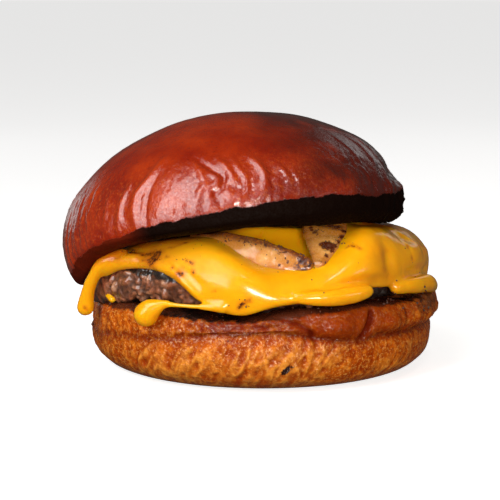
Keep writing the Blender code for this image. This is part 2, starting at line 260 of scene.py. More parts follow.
def along(points, line):
    """Each point's distance from a bent line, and how far along the line its nearest point is."""
    line = np.array(line)
    best = np.full(len(points), np.inf)
    share = np.zeros(len(points))
    for i, (start, end) in enumerate(zip(line, line[1:])):
        run = end - start
        t = np.clip((points - start) @ run / (run @ run), 0, 1)
        away = np.linalg.norm(points - start - t[:, None] * run, axis=1)
        share = np.where(away < best, (i + t) / (len(line) - 1), share)
        best = np.minimum(best, away)
    return best, share


def ridge(points, line, width, height):
    """A rounded fold along a bent line, which fades at both ends. A negative height is a groove."""
    away, share = along(points, line)
    ends = np.sin(np.pi * np.clip(share, 0.04, 0.96)) ** 0.5
    return height * np.exp(-((away / width) ** 2)) * ends


class Finish:
    """A material built up from a Principled shader, in the coordinates of the burger."""

    def __init__(self, name, settings):
        self.material = bpy.data.materials.new(name)
        self.material.use_nodes = True
        self.tree = self.material.node_tree
        self.shader = self.tree.nodes["Principled BSDF"]
        self.place = self.tree.nodes.new("ShaderNodeTexCoord").outputs["Object"]
        self.normal = None
        for socket, value in settings.items():
            self.shader.inputs[socket].default_value = value

    def node(self, kind, **inputs):
        made = self.tree.nodes.new(kind)
        for socket, value in inputs.items():
            self.set(made.inputs[socket.replace("_", " ")], value)
        return made

    def set(self, socket, value):
        if isinstance(value, bpy.types.NodeSocket):
            self.tree.links.new(value, socket)
        elif isinstance(value, tuple) and len(value) == 3 and len(socket.default_value) == 4:
            socket.default_value = (*value, 1)
        else:
            socket.default_value = value

    def mask(self, name):
        """What mark() kept at each point of the piece."""
        made = self.tree.nodes.new("ShaderNodeAttribute")
        made.attribute_name = name
        return made.outputs["Fac"]

    def scaled(self, size):
        """The burger's coordinates, in which `size` becomes 1."""
        return self.node("ShaderNodeMapping", Vector=self.place, Scale=(1 / size,) * 3).outputs[0]

    def grain(self, size, detail=3.0, roughness=0.55):
        """Noise from 0 to 1 whose largest grains are `size` across."""
        settings = {"Scale": 1.0, "Detail": detail, "Roughness": roughness}
        return self.node("ShaderNodeTexNoise", Vector=self.scaled(size), **settings).outputs["Fac"]

    def pores(self, size):
        """Distance from the nearest of many scattered points, 0 at each."""
        return self.node("ShaderNodeTexVoronoi", Vector=self.scaled(size), Scale=1.0).outputs["Distance"]

    def span(self, value, low, high, to_low=0.0, to_high=1.0):
        """The value stretched so that low to high becomes to_low to to_high, and no further."""
        limits = {"From_Min": low, "From_Max": high, "To_Min": to_low, "To_Max": to_high}
        return self.node("ShaderNodeMapRange", Value=value, **limits).outputs["Result"]

    def calc(self, operation, a, b):
        made = self.tree.nodes.new("ShaderNodeMath")
        made.operation = operation
        self.set(made.inputs[0], a)
        self.set(made.inputs[1], b)
        return made.outputs[0]

    def mix(self, share, a, b):
        """The colour a, with a share of the colour b laid over it."""
        made = self.tree.nodes.new("ShaderNodeMix")
        made.data_type = "RGBA"
        self.set(made.inputs["Factor"], share)
        self.set(made.inputs[6], a)
        self.set(made.inputs[7], b)
        return made.outputs[2]

    def relief(self, height, depth):
        """Adds fine relief, `depth` deep, on top of any before."""
        made = self.node("ShaderNodeBump", Height=height, Distance=depth, Strength=1.0)
        if self.normal:
            self.tree.links.new(self.normal, made.inputs["Normal"])
        self.normal = made.outputs["Normal"]

    def done(self, colour, roughness=None):
        self.set(self.shader.inputs["Base Color"], colour)
        if roughness is not None:
            self.set(self.shader.inputs["Roughness"], roughness)
        if self.normal:
            self.tree.links.new(self.normal, self.shader.inputs["Normal"])
        return self.material


HEEL_BASE_RADIUS = 40 * MM
HEEL_RADIUS = 55.2 * MM
HEEL_WIDEST_Z = 12.5 * MM
HEEL_BASE_FULLNESS = 0.8
CREASE_DEPTH = 0.6 * MM
HEEL_TOP_Z = 24 * MM
HEEL_RIM_ROUND = 3.2 * MM
HEEL_SIDE_RADIUS = 54.6 * MM
HEEL_RING_SPACING = 0.66 * MM


def heel_surface(radius, angle=ANGLES):
    """Height of the toasted top face: level in the middle, following the rim outside."""
    rim = bumps(((260, 22, -1.6), (196, 30, -1.4), (298, 42, 1.8)), angle)
    return HEEL_TOP_Z + rim * ease(2 * radius / HEEL_RADIUS - 0.9)


# Course of the crease round the side: angle in degrees, then height in millimetres
CREASE = np.array([
    (0, 15.6), (45, 16.0), (90, 16.4), (140, 14.8), (175, 12.8), (199, 12.6), (211, 13.8), (220, 14.5),
    (233, 15.4), (243, 16.9), (252, 18.0), (261, 18.8), (272, 19.0), (281, 18.3), (288, 17.0), (295, 15.9),
    (302, 15.6), (322, 15.7), (337, 15.1),
])


def crease_height():
    return np.interp(ANGLES, CREASE[:, 0], CREASE[:, 1], period=360) * MM


def heel_rows():
    radius = HEEL_RADIUS + ripple(ANGLES, 3, 40, 0.3 * MM)
    waist = radius + bumps(((180, 70, 0.5), (0, 70, -1.2)))
    rows = [rings(HEEL_BASE_RADIUS * share, 0) for share in (0.25, 0.5, 0.75)]
    rows += [rings(HEEL_BASE_RADIUS - 1.5 * MM, 0), rings(HEEL_BASE_RADIUS, 0.05 * MM)]
    for degrees in (9, 18, 27, 36, 54, 72, 90):
        out = math.sin(math.radians(degrees)) ** HEEL_BASE_FULLNESS
        up = 1 - max(math.cos(math.radians(degrees)), 0) ** HEEL_BASE_FULLNESS
        rows.append(rings(HEEL_BASE_RADIUS + (waist - HEEL_BASE_RADIUS) * out, HEEL_WIDEST_Z * up))
    crease = crease_height()
    rows.append(rings(waist - CREASE_DEPTH + bumps(((215, 60, 0.5),)), crease))
    radius = radius + bumps(((0, 60, 1.2),))
    top = heel_surface(radius)
    rows.append(rings(radius, crease + 0.45 * (top - HEEL_RIM_ROUND - crease)))
    for degrees in (0, 30, 60, 90):
        turn = math.radians(degrees)
        inward = HEEL_RIM_ROUND * (1.1 - math.cos(turn))
        rows.append(rings(radius - inward, top - HEEL_RIM_ROUND * (1 - math.sin(turn))))
    rows += [rings(radius * share, heel_surface(radius * share)) for share in (0.8, 0.45)]
    return smooth_rows(rows, HEEL_RING_SPACING)


# Where the toasted edge starts: angle in degrees, then height in millimetres
TOAST_EDGE = np.array([
    (0, 22.5), (60, 22.0), (120, 22.0), (180, 21.6), (207, 21.6), (220, 22.4), (245, 22.3), (262, 21.9),
    (275, 23.2), (288, 24.3), (304, 25.0), (325, 24.0), (345, 24.0),
])

# Folds on the band: height and half width in millimetres, then angle and height of points along each
LOBES = (
    (1.9, 3.0, ((288.5, 20.2), (294.0, 20.4), (300.0, 19.8))),
    (0.5, 0.8, ((284.5, 21.0), (287.8, 23.4), (293.5, 24.4), (299.5, 23.4))),
    (1.6, 2.5, ((311.5, 20.2), (316.0, 19.6), (319.5, 18.8))),
    (1.3, 2.2, ((327.5, 20.4), (332.0, 18.4))),
    (-1.8, 1.2, ((307.2, 26.0), (306.4, 21.4), (304.6, 18.4), (302.0, 15.6))),
    (-1.5, 0.9, ((275.0, 23.4), (281.3, 21.4), (284.6, 19.2), (286.4, 15.4))),
    (-1.3, 0.9, ((323.0, 24.0), (323.8, 19.6), (322.2, 15.6))),
    (0.7, 1.0, ((264.0, 20.8), (272.0, 22.2), (280.0, 23.2))),
    (-1.0, 0.7, ((259.0, 20.4), (268.0, 21.0), (278.0, 20.6))),
    (0.45, 0.45, ((291.8, 21.6), (293.4, 19.2))),
    (0.40, 0.45, ((288.6, 21.4), (289.8, 20.2))),
)


def on_heel(*places):
    """Points on the heel's side from pairs of an angle and a height in millimetres."""
    return [rings(HEEL_SIDE_RADIUS, z * MM, np.array([float(angle)]))[0] for angle, z in places]


def shape_heel(heel):
    points = points_of(heel)
    angle = bearing(points)
    z = points[:, 2] / MM
    side = ease((z - 0.8) / 3) * ease((np.hypot(points[:, 0], points[:, 1]) / MM - 40) / 4)
    crease = np.interp(angle, ANGLES, crease_height(), period=360) / MM
    over = z - crease + 0.8 * lumps(points, 9 * MM, 3, 5.0)
    base, band = ease(-over / 2), ease(over / 2)

    # The side's skin is crumpled: steep slanting wrinkles below the crease, softer folds above it
    turned = np.radians(angle - 0.5 * z)
    slanted = np.stack([HEEL_RADIUS * np.cos(turned), HEEL_RADIUS * np.sin(turned), 0.36 * points[:, 2]], -1)
    slanted += 0.9 * MM * drift(points, 6 * MM, (1.0, 4.0, 9.0))
    wrinkled = 1 - 2 * np.abs(lumps(slanted, 2.9 * MM, 2, 4.0))
    patchy = ease(0.15 + 0.8 * lumps(points, 12 * MM, 2, 2.0) + bumps(((264, 46, 1.1),), angle) / MM)
    smooth = bumps(((350, 34, 0.8),), angle) / MM
    crumple = lumps(points, 1.5 * MM, 3, 9.0)
    relief = 0.4 * lumps(points, 16 * MM, 2)
    relief += base * ease((z - 2.5) / 4) * (0.60 * wrinkled * patchy + 0.25 * crumple) * (1 - smooth)
    glossy = bumps(((300, 38, 0.9),), angle) / MM
    relief += band * (0.35 * lumps(points, 4.5 * MM, 3, 6.0) + 0.18 * crumple) * (1 - glossy)

    # The crease is a thin, ragged fold
    depth = (0.55 + 0.5 * lumps(points, 8 * MM, 2, 8.0)) * (1 - bumps(((215, 60, 0.8),), angle) / MM)
    relief -= np.maximum(depth, 0.05) * np.exp(-((over / 0.45) ** 2))

    # Lobes of dough that slumped over the band at the front right
    seam_shade = np.zeros(len(points))
    for height, width, places in LOBES:
        fold = ridge(points, on_heel(*places), width * MM, height)
        relief += fold
        seam_shade = np.maximum(seam_shade, -fold)
    torn = bumps(((343, 22, 1),), angle) / MM * ease((z - 18) / 4)
    relief += torn * 0.9 * lumps(points, 3.0 * MM, 3, 3.0)
    lift(heel, relief * side * MM)

    toast_edge = np.interp(angle, TOAST_EDGE[:, 0], TOAST_EDGE[:, 1], period=360)
    mark(heel, "toasted", ease((z - toast_edge + 0.7 * lumps(points, 4 * MM, 3, 7.0)) / 1.4 + 0.5))
    reddened = bumps(((292, 50, 0.9), (259, 28, 1.0)), angle) / MM * band
    mark(heel, "reddened", reddened + 0.8 * np.exp(-((over / 1.8) ** 2)))
    mark(heel, "crease", np.exp(-((over / 0.5) ** 2)) * np.clip(depth * 1.6, 0.15, 1))
    # Painted shade in the grooves between the slanting wrinkles, and a painted highlight on their crests
    mark(heel, "fold_shade", base * patchy * (0.5 - 0.5 * wrinkled))
    mark(heel, "crest_highlight", base * patchy * (0.5 + 0.5 * wrinkled) ** 3 * ease((16 - z) / 4))
    mark(heel, "torn", torn)
    # Painted shade in the grooves between the lobes
    mark(heel, "seam_shade", seam_shade)
    mark(heel, "glossy", glossy * band)
    black = bumps(((246, 22, 1.0), (262, 12, 0.5), (292, 8, 0.6), (335, 26, 1.0), (90, 100, 0.8)), angle) / MM
    mark(heel, "blackened", black + 0.4 * lumps(points, 3 * MM, 2, 12.0))
    spot, _ = along(points, on_heel((276.0, 7.4), (278.4, 9.4)))
    mark(heel, "scorch", 1.2 - spot / (1.2 * MM))
    mark(heel, "underside", ease((4.0 - z) / 4))


def heel_finish():
    crust = Finish("heel_crust", {})
    patches = crust.grain(8 * MM, 3)
    mottle = crust.grain(2.0 * MM, 4, 0.65)
    freckles_and_glints = crust.grain(0.8 * MM, 3, 0.7)
    colour = crust.mix(crust.span(patches, 0.35, 0.65), (0.32, 0.044, 0.0015), (0.48, 0.085, 0.0025))
    colour = crust.mix(crust.span(mottle, 0.50, 0.64, 0, 0.7), colour, (0.70, 0.20, 0.012))
    colour = crust.mix(crust.span(mottle, 0.34, 0.47, 0.7, 0.0), colour, (0.22, 0.020, 0.0015))
    # The brightest freckles are paler crust with painted glints laid on it
    colour = crust.mix(crust.span(freckles_and_glints, 0.53, 0.64, 0, 0.65), colour, (0.86, 0.36, 0.055))
    # A painted highlight on the wrinkles' crests, and painted shade in their grooves
    crest_highlight = crust.calc("MULTIPLY", crust.mask("crest_highlight"), crust.span(mottle, 0.35, 0.6, 0.25, 0.8))
    colour = crust.mix(crest_highlight, colour, (0.80, 0.32, 0.040))
    colour = crust.mix(crust.mask("fold_shade"), colour, (0.26, 0.026, 0.002))
    red = crust.calc("MULTIPLY", crust.mask("reddened"), crust.span(mottle, 0.35, 0.65, 1.0, 0.6))
    colour = crust.mix(red, colour, (0.13, 0.010, 0.0015))
    colour = crust.mix(crust.calc("MULTIPLY", crust.mask("glossy"), 0.75), colour, (0.27, 0.033, 0.0012))
    # Painted shade in the grooves between the lobes
    colour = crust.mix(crust.span(crust.mask("seam_shade"), 0.1, 0.9, 0, 0.9), colour, (0.11, 0.007, 0.0015))
    colour = crust.mix(crust.calc("MULTIPLY", crust.mask("underside"), 0.5), colour, (0.16, 0.055, 0.020))
    colour = crust.mix(crust.calc("MULTIPLY", crust.mask("crease"), 0.8), colour, (0.09, 0.008, 0.002))
    colour = crust.mix(crust.calc("MULTIPLY", crust.mask("torn"), 0.85), colour, (0.085, 0.032, 0.014))
    edge = crust.calc("ADD", crust.mask("toasted"), crust.span(freckles_and_glints, 0.3, 0.7, -0.35, 0.3))
    toast = crust.mix(crust.mask("blackened"), (0.075, 0.016, 0.006), (0.006, 0.003, 0.002))
    colour = crust.mix(crust.span(edge, 0.2, 0.8), colour, toast)
    burnt = crust.calc("ADD", crust.mask("scorch"), crust.span(freckles_and_glints, 0.3, 0.7, -0.7, 0.1))
    colour = crust.mix(crust.span(burnt, 0.1, 0.4), colour, (0.02, 0.006, 0.004))
    crust.relief(freckles_and_glints, 0.30 * MM)
    crust.relief(mottle, 0.35 * MM)

    # The crust is shiny in freckles, less where it is toasted and least in the seams
    untoasted = crust.span(edge, 0.2, 0.8, 1, 0.5)
    glints = crust.calc("MULTIPLY", crust.span(freckles_and_glints, 0.48, 0.66, 0.02, 1.0), untoasted)
    glints = crust.calc("MULTIPLY", glints, crust.span(crust.mask("seam_shade"), 0.1, 0.9, 1, 0.2))
    crust.set(crust.shader.inputs["Specular IOR Level"], glints)
    return crust.done(colour, crust.span(freckles_and_glints, 0.3, 0.7, 0.30, 0.16))


heel = skin("heel_baked", heel_rows(), (0, 0, 0), (0, 0, HEEL_TOP_Z))
shape_heel(heel)
heel.data.materials.append(heel_finish())
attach(heel, "root")
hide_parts("bun_heel")

# ================================================================ beef patty
# Coarse ground beef, pressed by hand and seared: loose strands and lumps on its side, wet with fat,
# and a dark crust round the upper edge. It fills the room between the heel and the cheese.

GAP = 0.4 * MM
CROWN_CENTRE = np.array([-9.6, 2.0, 43.0]) * MM
CROWN_ROLL = math.radians(8.5)
CROWN_PITCH = math.radians(8.0)
CROWN_RADIUS = 56 * MM
LIP_OUTER_RADIUS = 50.5 * MM
LIP_INNER_RADIUS = 44.5 * MM
LIP_DROP = 3.2 * MM
CHEESE_TOP_Z = 44.4 * MM
CHEESE_LEAN = (0.08, -0.07)
CHEESE_THICK = 3.6 * MM
HOLLOW_CENTRE = (9 * MM, -46 * MM)
HOLLOW_RADIUS = 19.5 * MM
HOLLOW_DEPTH = 10.5 * MM
PATTY_RADIUS = 52 * MM
PATTY_ROUND_BOTTOM = 4.5 * MM
PATTY_ROUND_TOP = 9 * MM
PATTY_RING_SPACING = 0.5 * MM


def lip_drop(angle):
    """How far the crown's edge hangs below its own cut face."""
    return LIP_DROP + bumps(((182, 44, 8.0), (252, 60, -3.0), (350, 60, 2.0), (90, 60, -2.2)), angle)


def crown_underside(x, y):
    """Height of the crown's underside, and a height out of reach beyond its edge."""
    x, y = x - CROWN_CENTRE[0], y - CROWN_CENTRE[1]
    radius = np.hypot(x, y)
    cut_face = CROWN_CENTRE[2] + math.tan(CROWN_ROLL) * x - math.tan(CROWN_PITCH) * y / math.cos(CROWN_ROLL)
    reach = ease((radius - LIP_INNER_RADIUS + 3 * MM) / (4 * MM))
    under = cut_face - lip_drop(np.degrees(np.arctan2(y, x)) % 360) * reach
    return np.where(radius > CROWN_RADIUS, 1.0, under)


def onion_hollow(x, y):
    away = np.hypot(x - HOLLOW_CENTRE[0], y - HOLLOW_CENTRE[1]) / HOLLOW_RADIUS
    return HOLLOW_DEPTH * np.exp(-(away**3))


def cheese_top(x, y):
    """Height of the cheese: a leaning mound, pressed down where the crown lies lower."""
    mound = CHEESE_TOP_Z + CHEESE_LEAN[0] * x + CHEESE_LEAN[1] * y - onion_hollow(x, y)
    mound = mound - 0.2 * np.maximum(x - 32 * MM, 0)
    under = crown_underside(x, y) - 1.5 * GAP
    blend = np.maximum(1.5 * MM - np.abs(mound - under), 0) / (1.5 * MM)
    return np.minimum(mound, under) - blend**2 * 1.5 * MM / 4


def cheese_depth(x, y):
    return CHEESE_THICK + 0.3 * onion_hollow(x, y)


def patty_at(radius, share, offset=0.0):
    """A ring between the patty's lower face, share -1, and its upper face, share 1."""
    flat = rings(radius, 0)
    low = heel_surface(np.broadcast_to(radius, ANGLES.shape)) + GAP
    high = cheese_top(flat[:, 0], flat[:, 1]) - cheese_depth(flat[:, 0], flat[:, 1])
    return rings(radius, low + (high - low) * (1 + share) / 2 + offset * share)


def patty_radius():
    wobble = ripple(ANGLES, 4, 10, 0.5 * MM) + ripple(ANGLES, 7, 90, 0.4 * MM)
    return PATTY_RADIUS + wobble + bumps(((350, 60, -2.4),))


def patty_shoulder():
    return patty_radius() - PATTY_ROUND_TOP - bumps(((350, 60, 6.0),))


def patty_rim(lift_degrees, offset=0.0):
    """A ring of the rounded rim, from -90 degrees at the lower face to 90 at the upper face."""
    turn = np.radians(np.broadcast_to(lift_degrees, ANGLES.shape))
    radius = patty_radius()
    rounding = np.where(turn > 0, radius - patty_shoulder(), PATTY_ROUND_BOTTOM)
    radius = radius + offset * np.cos(turn) - rounding * (1 - np.cos(turn))
    return patty_at(radius, np.sin(turn), offset)


def middle(row):
    """The point on the burger's axis at the mean height of a ring."""
    return tuple(np.append(np.zeros(2), row[:, 2].mean()))


def patty_rows():
    bottom = PATTY_RADIUS - PATTY_ROUND_BOTTOM
    inner = [patty_at(bottom * share, -1) for share in (0.3, 0.6, 0.85, 0.93)]
    rim = smooth_rows([patty_rim(degrees) for degrees in range(-90, 91, 15)], PATTY_RING_SPACING)
    outer = [patty_at(patty_shoulder() * share, 1) for share in (0.95, 0.85, 0.6, 0.3)]
    return np.concatenate([inner, rim, outer])


def cells(points, size, start=0.0):
    """Rounded grains from 0, in the gaps between them, to about 1 in their middles."""
    near = [noise.voronoi(Vector(p))[0] for p in points / np.asarray(size) + start]
    near = np.array([row[:2] for row in near])
    return np.clip((near[:, 1] - near[:, 0]) * 1.6, 0, 1)


def shape_patty(patty):
    points = points_of(patty)
    angle = bearing(points)
    z = points[:, 2] / MM
    rim = ease((np.hypot(points[:, 0], points[:, 1]) - 40 * MM) / (5 * MM))
    warp = drift(points, 6 * MM, (1.0, 11.0, 21.0)) * 3.0 * MM
    strands = cells(points + warp, (5.0 * MM, 5.0 * MM, 3.4 * MM), 3.0)
    crumbs = cells(points + 0.5 * warp, 1.9 * MM, 8.0)
    relief = 1.3 * (strands - 0.6) + 0.45 * (crumbs - 0.5)
    relief += 0.8 * lumps(points, 8 * MM, 2, 5.0) + 0.12 * lumps(points, 0.9 * MM, 3, 15.0)

    # A burst bubble of fat at the front left: a pit with a raised rim. The left end bulges out.
    bubble = np.linalg.norm(points - np.array([-30.6, -40.6, 32.6]) * MM, axis=1) / MM
    relief += 0.6 * np.exp(-(((bubble - 1.3) / 0.35) ** 2)) - 0.5 * np.exp(-((bubble / 0.8) ** 2))
    relief += bumps(((198, 22, 4.2),), angle) / MM
    lift(patty, relief * rim * MM)

    # A seared crust along the upper edge, darker along the lowest edge too, and painted shade round the right
    # side
    crust_edge = 32.6 - 0.5 * np.abs(angle - 219) / 10 + 1.3 * lumps(points, 5 * MM, 3, 2.0)
    dark = np.maximum(ease((z - crust_edge) / 1.6), ease((26.4 - z + lumps(points, 3 * MM, 2, 6.0)) / 1.8))
    mark(patty, "crust_and_shade", np.maximum(dark, 1.3 * bumps(((330, 75, 1),), angle) / MM))
    # Painted shade in the gaps between the strands and grains
    mark(patty, "gaps", 1 - (0.6 * strands + 0.4 * crumbs) * 1.35)


def patty_finish():
    beef = Finish("grilled_beef", {"Coat Weight": 1.0, "Coat Roughness": 0.06, "Coat IOR": 1.55})
    fibres = beef.grain(1.5 * MM, 4, 0.65)
    fat = beef.grain(3.2 * MM, 3, 0.6)
    colour = beef.mix(beef.span(fibres, 0.3, 0.7), (0.15, 0.038, 0.011), (0.39, 0.130, 0.050))
    colour = beef.mix(beef.span(fat, 0.54, 0.70, 0, 0.7), colour, (0.62, 0.33, 0.19))
    colour = beef.mix(beef.span(fat, 0.32, 0.42, 0.6, 0), colour, (0.24, 0.045, 0.028))
    # Painted shade in the gaps between the strands and grains
    colour = beef.mix(beef.span(beef.mask("gaps"), 0.3, 1.0), colour, (0.030, 0.010, 0.005))
    # The seared upper crust, the darker lowest edge, and painted shade round the right side
    sear = beef.calc("ADD", beef.mask("crust_and_shade"), beef.span(fibres, 0.3, 0.7, -0.35, 0.2))
    colour = beef.mix(beef.span(sear, 0.2, 0.8), colour, (0.012, 0.006, 0.004))
    beef.relief(beef.grain(0.7 * MM, 3, 0.7), 0.30 * MM)
    beef.relief(beef.pores(1.3 * MM), 0.30 * MM)
    return beef.done(colour, 0.5)


rows = patty_rows()
patty = skin("patty_seared", rows, middle(rows[0]), middle(rows[-1]))
shape_patty(patty)
patty.data.materials.append(patty_finish())
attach(patty, "root")
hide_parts("beef_patty")

# ================================================================ melted cheese
# Two slices of processed cheese, melted over the hot patty. They hang over its edge in a thick soft
# hem, which ran into a long drip on the left, a round drop on a thin run at the front left, a rolled
# tongue at the front and a lobe on the right. The heat browned the top here and there.

# The lower edge: angle in degrees, then thickness and height in millimetres
HEM = np.array([
    (8, 3.4, 28.5), (40, 2.4, 30.5), (66, 2.2, 33.0), (92, 3.2, 27.0), (118, 2.2, 32.0),
    (146, 2.8, 28.0), (170, 2.4, 31.5), (193, 2.6, 31.5), (204, 2.4, 34.2), (217, 2.4, 35.4),
    (231, 2.4, 35.4), (241, 2.6, 33.0), (249, 3.2, 28.8), (262, 4.0, 25.8), (274, 3.6, 27.2),
    (285, 2.8, 28.4), (298, 2.6, 29.8), (311, 2.4, 31.0), (321, 2.6, 30.4), (335, 3.4, 28.6),
    (350, 3.8, 27.8),
])

# Runs of cheese: x, y, z and radius in millimetres along each
DRIPS = (
    ((-43.5, -28.5, 38.4, 2.4), (-49.6, -26.8, 35.8, 2.3), (-53.0, -24.2, 31.0, 1.9),
     (-55.0, -21.8, 26.0, 2.2), (-55.9, -20.2, 20.8, 2.9)),
    ((-38.5, -32.5, 37.6, 2.4), (-44.5, -28.6, 36.4, 2.6), (-49.2, -24.8, 33.6, 2.2)),
    ((-35.4, -46.2, 23.4, 3.9), (-33.6, -47.2, 25.2, 3.3), (-29.8, -48.8, 26.9, 1.4),
     (-25.5, -50.4, 26.8, 0.8), (-20.0, -52.2, 26.7, 0.9), (-12.0, -53.4, 26.8, 1.9)),
    ((9.5, -53.4, 29.6, 1.6), (14.0, -53.2, 29.4, 2.2), (21.0, -51.2, 29.5, 2.7),
     (27.0, -48.2, 29.9, 2.8), (31.0, -45.6, 30.3, 2.2)),
    ((40.5, -33.6, 29.4, 2.0), (46.0, -27.0, 29.2, 2.9), (51.0, -17.5, 28.2, 3.1), (53.6, -9.0, 25.8, 2.4)),
    ((-48.6, -24.2, 25.4, 0.9), (-47.0, -26.4, 24.3, 1.25)),
)
MELT_GRAIN = 0.56 * MM
MELT_SOFTNESS = 9
CHEESE_RING_SPACING = 1.0 * MM


def round_curve(table, column):
    """A smooth closed curve through a table's rows, at every angle."""
    rows = np.concatenate([table[-2:] - (360, 0, 0), table, table[:2] + (360, 0, 0)])
    at, v = rows[:, 0], rows[:, column]
    i = np.searchsorted(at, ANGLES, side="right") - 1
    gap = at[i + 1] - at[i]
    t = (ANGLES - at[i]) / gap
    slope_in = (v[i + 1] - v[i - 1]) / (at[i + 1] - at[i - 1]) * gap
    slope_out = (v[i + 2] - v[i]) / (at[i + 2] - at[i]) * gap
    return (
        (2 * t**3 - 3 * t**2 + 1) * v[i]
        + (t**3 - 2 * t**2 + t) * slope_in
        + (3 * t**2 - 2 * t**3) * v[i + 1]
        + (t**3 - t**2) * slope_out
    )


def hem_lift():
    """How high on the patty's rim the cheese ends, as a lift in degrees."""
    low, high = patty_rim(-90)[:, 2], patty_rim(60)[:, 2]
    share = 2 * (round_curve(HEM, 2) * MM - low) / (high - low) - 1
    return np.degrees(np.arcsin(np.clip(share, -0.85, 0.85)))


def cheese_skin(share):
    """A ring of the outer face: share runs from 0, at its shoulder, to 1, at its hem."""
    lift_degrees = 90 + (hem_lift() - 90) * share
    shoulder = patty_rim(90)
    depth = cheese_depth(shoulder[:, 0], shoulder[:, 1])
    hem = round_curve(HEM, 1) * MM
    return patty_rim(lift_degrees, depth + (hem - depth) * ease(share * 1.3))


def cheese_rows():
    rows = []
    for share in (0.3, 0.6, 0.85):
        flat = rings(patty_shoulder() * share, 0)
        rows.append(rings(patty_shoulder() * share, cheese_top(flat[:, 0], flat[:, 1])))
    rows += [cheese_skin(step / 6) for step in range(7)]
    tucked = patty_rim(hem_lift() - 4, -1.2 * MM)
    rolled = tucked + (rows[-1] - tucked) * 0.6 - (0, 0, 1 * MM)
    outside = smooth_rows([*rows, rolled, tucked], CHEESE_RING_SPACING)
    inside = [patty_rim(hem_lift() + (90 - hem_lift()) * share, -1.2 * MM) for share in (0.3, 0.6, 1)]
    inside += [patty_at(patty_shoulder() * share, 1, -1.2 * MM) for share in (0.7, 0.4, 0.15)]
    return np.concatenate([outside, inside])


def smooth_chain(rows, per_span):
    """A smooth line through rows of numbers, in every column."""
    rows = np.array([rows[0], *rows, rows[-1]], float)
    line = []
    for i in range(len(rows) - 3):
        for step in range(per_span):
            t = step / per_span
            weights = np.array([
                -t + 2 * t**2 - t**3, 2 - 5 * t**2 + 3 * t**3,
                t + 4 * t**2 - 3 * t**3, t**3 - t**2,
            ]) / 2
            line.append(weights @ rows[i : i + 4])
    line.append(rows[-1])
    return np.array(line) * MM


def drip(name, rows):
    """A round-ended run of cheese along a chain of x, y, z and radius."""
    line = smooth_chain(rows, 8)
    centre, radius = line[:, :3], line[:, 3]
    ahead = np.gradient(centre, axis=0)
    ahead /= np.linalg.norm(ahead, axis=1)[:, None]

    def cap(end, outward, turn):
        """A ring on a rounded end, smaller the further it has turned inwards."""
        return centre[end] + outward * radius[end] * math.sin(turn), radius[end] * math.cos(turn), ahead[end]

    before = [cap(0, -ahead[0], turn) for turn in np.radians((75, 50, 25))]
    after = [cap(-1, ahead[-1], turn) for turn in np.radians((25, 50, 75))]
    turn = np.radians(np.arange(0, 360, 15))[:, None]
    loops = []
    for point, thick, way in [*before, *zip(centre, radius, ahead), *after]:
        side = np.cross(way, (point[0], point[1], 0))
        side /= np.linalg.norm(side)
        loops.append(point + thick * (np.cos(turn) * side + np.sin(turn) * np.cross(side, way)))
    return skin(name, np.array(loops), centre[0] - ahead[0] * radius[0], centre[-1] + ahead[-1] * radius[-1])


def melt_together(name, pieces, grain, softness):
    """One skin round several overlapping pieces, softened where they meet."""
    bm = bmesh.new()
    for piece in pieces:
        bm.from_mesh(piece.data)
        bpy.data.objects.remove(piece)
    bmesh.ops.recalc_face_normals(bm, faces=bm.faces)
    mesh = bpy.data.meshes.new(name)
    bm.to_mesh(mesh)
    bm.free()
    whole = bpy.data.objects.new(name, mesh)
    bpy.context.scene.collection.objects.link(whole)
    remesh = whole.modifiers.new("one skin", "REMESH")
    remesh.mode = "VOXEL"
    remesh.voxel_size = grain
    soften = whole.modifiers.new("soften", "SMOOTH")
    soften.factor = 0.5
    soften.iterations = softness
    graph = bpy.context.evaluated_depsgraph_get()
    whole.data = bpy.data.meshes.new_from_object(whole.evaluated_get(graph))
    whole.modifiers.clear()
    whole.data.shade_smooth()
    return whole


# Folds: height and half width in millimetres, then points along each
FOLDS = (
    (-1.3, 3.0, ((37.8, -35.6, 42.5), (38.3, -36.8, 38.0), (38.5, -37.0, 33.5))),
    (-1.3, 1.3, (
        (18.0, -52.4, 32.4), (22.0, -50.2, 33.0), (28.0, -47.0, 33.6),
        (34.0, -41.5, 33.4), (38.0, -37.0, 33.0),
    )),
    (-1.3, 1.8, ((44.0, -31.0, 33.4), (49.0, -20.0, 32.6), (52.0, -8.0, 31.5))),
    (1.0, 1.1, (
        (-30.0, -42.5, 38.6), (-27.3, -45.9, 36.6), (-24.8, -48.4, 34.6),
        (-22.0, -50.2, 32.0), (-19.5, -51.4, 29.4),
    )),
    (-0.6, 1.3, ((-27.0, -43.5, 39.0), (-23.0, -48.0, 36.4), (-19.0, -51.6, 33.2))),
    (-1.6, 4.5, ((42.0, -20.0, 43.5), (45.5, -13.0, 42.0))),
    (1.2, 4.0, ((46.5, -24.0, 39.5), (48.5, -12.0, 39.0))),
    (-1.4, 2.2, ((50.0, -12.0, 43.5), (52.0, -2.0, 43.0))),
    (0.8, 2.2, ((52.5, -11.0, 37.5), (54.0, -2.0, 37.0))),
    (-1.2, 1.6, ((52.0, -13.0, 31.0), (54.0, -3.0, 30.5))),
    (2.4, 3.5, ((-10.0, -20.0, 45.4), (-3.0, -21.5, 45.1), (4.0, -22.5, 44.9), (12.0, -23.0, 45.2))),
)
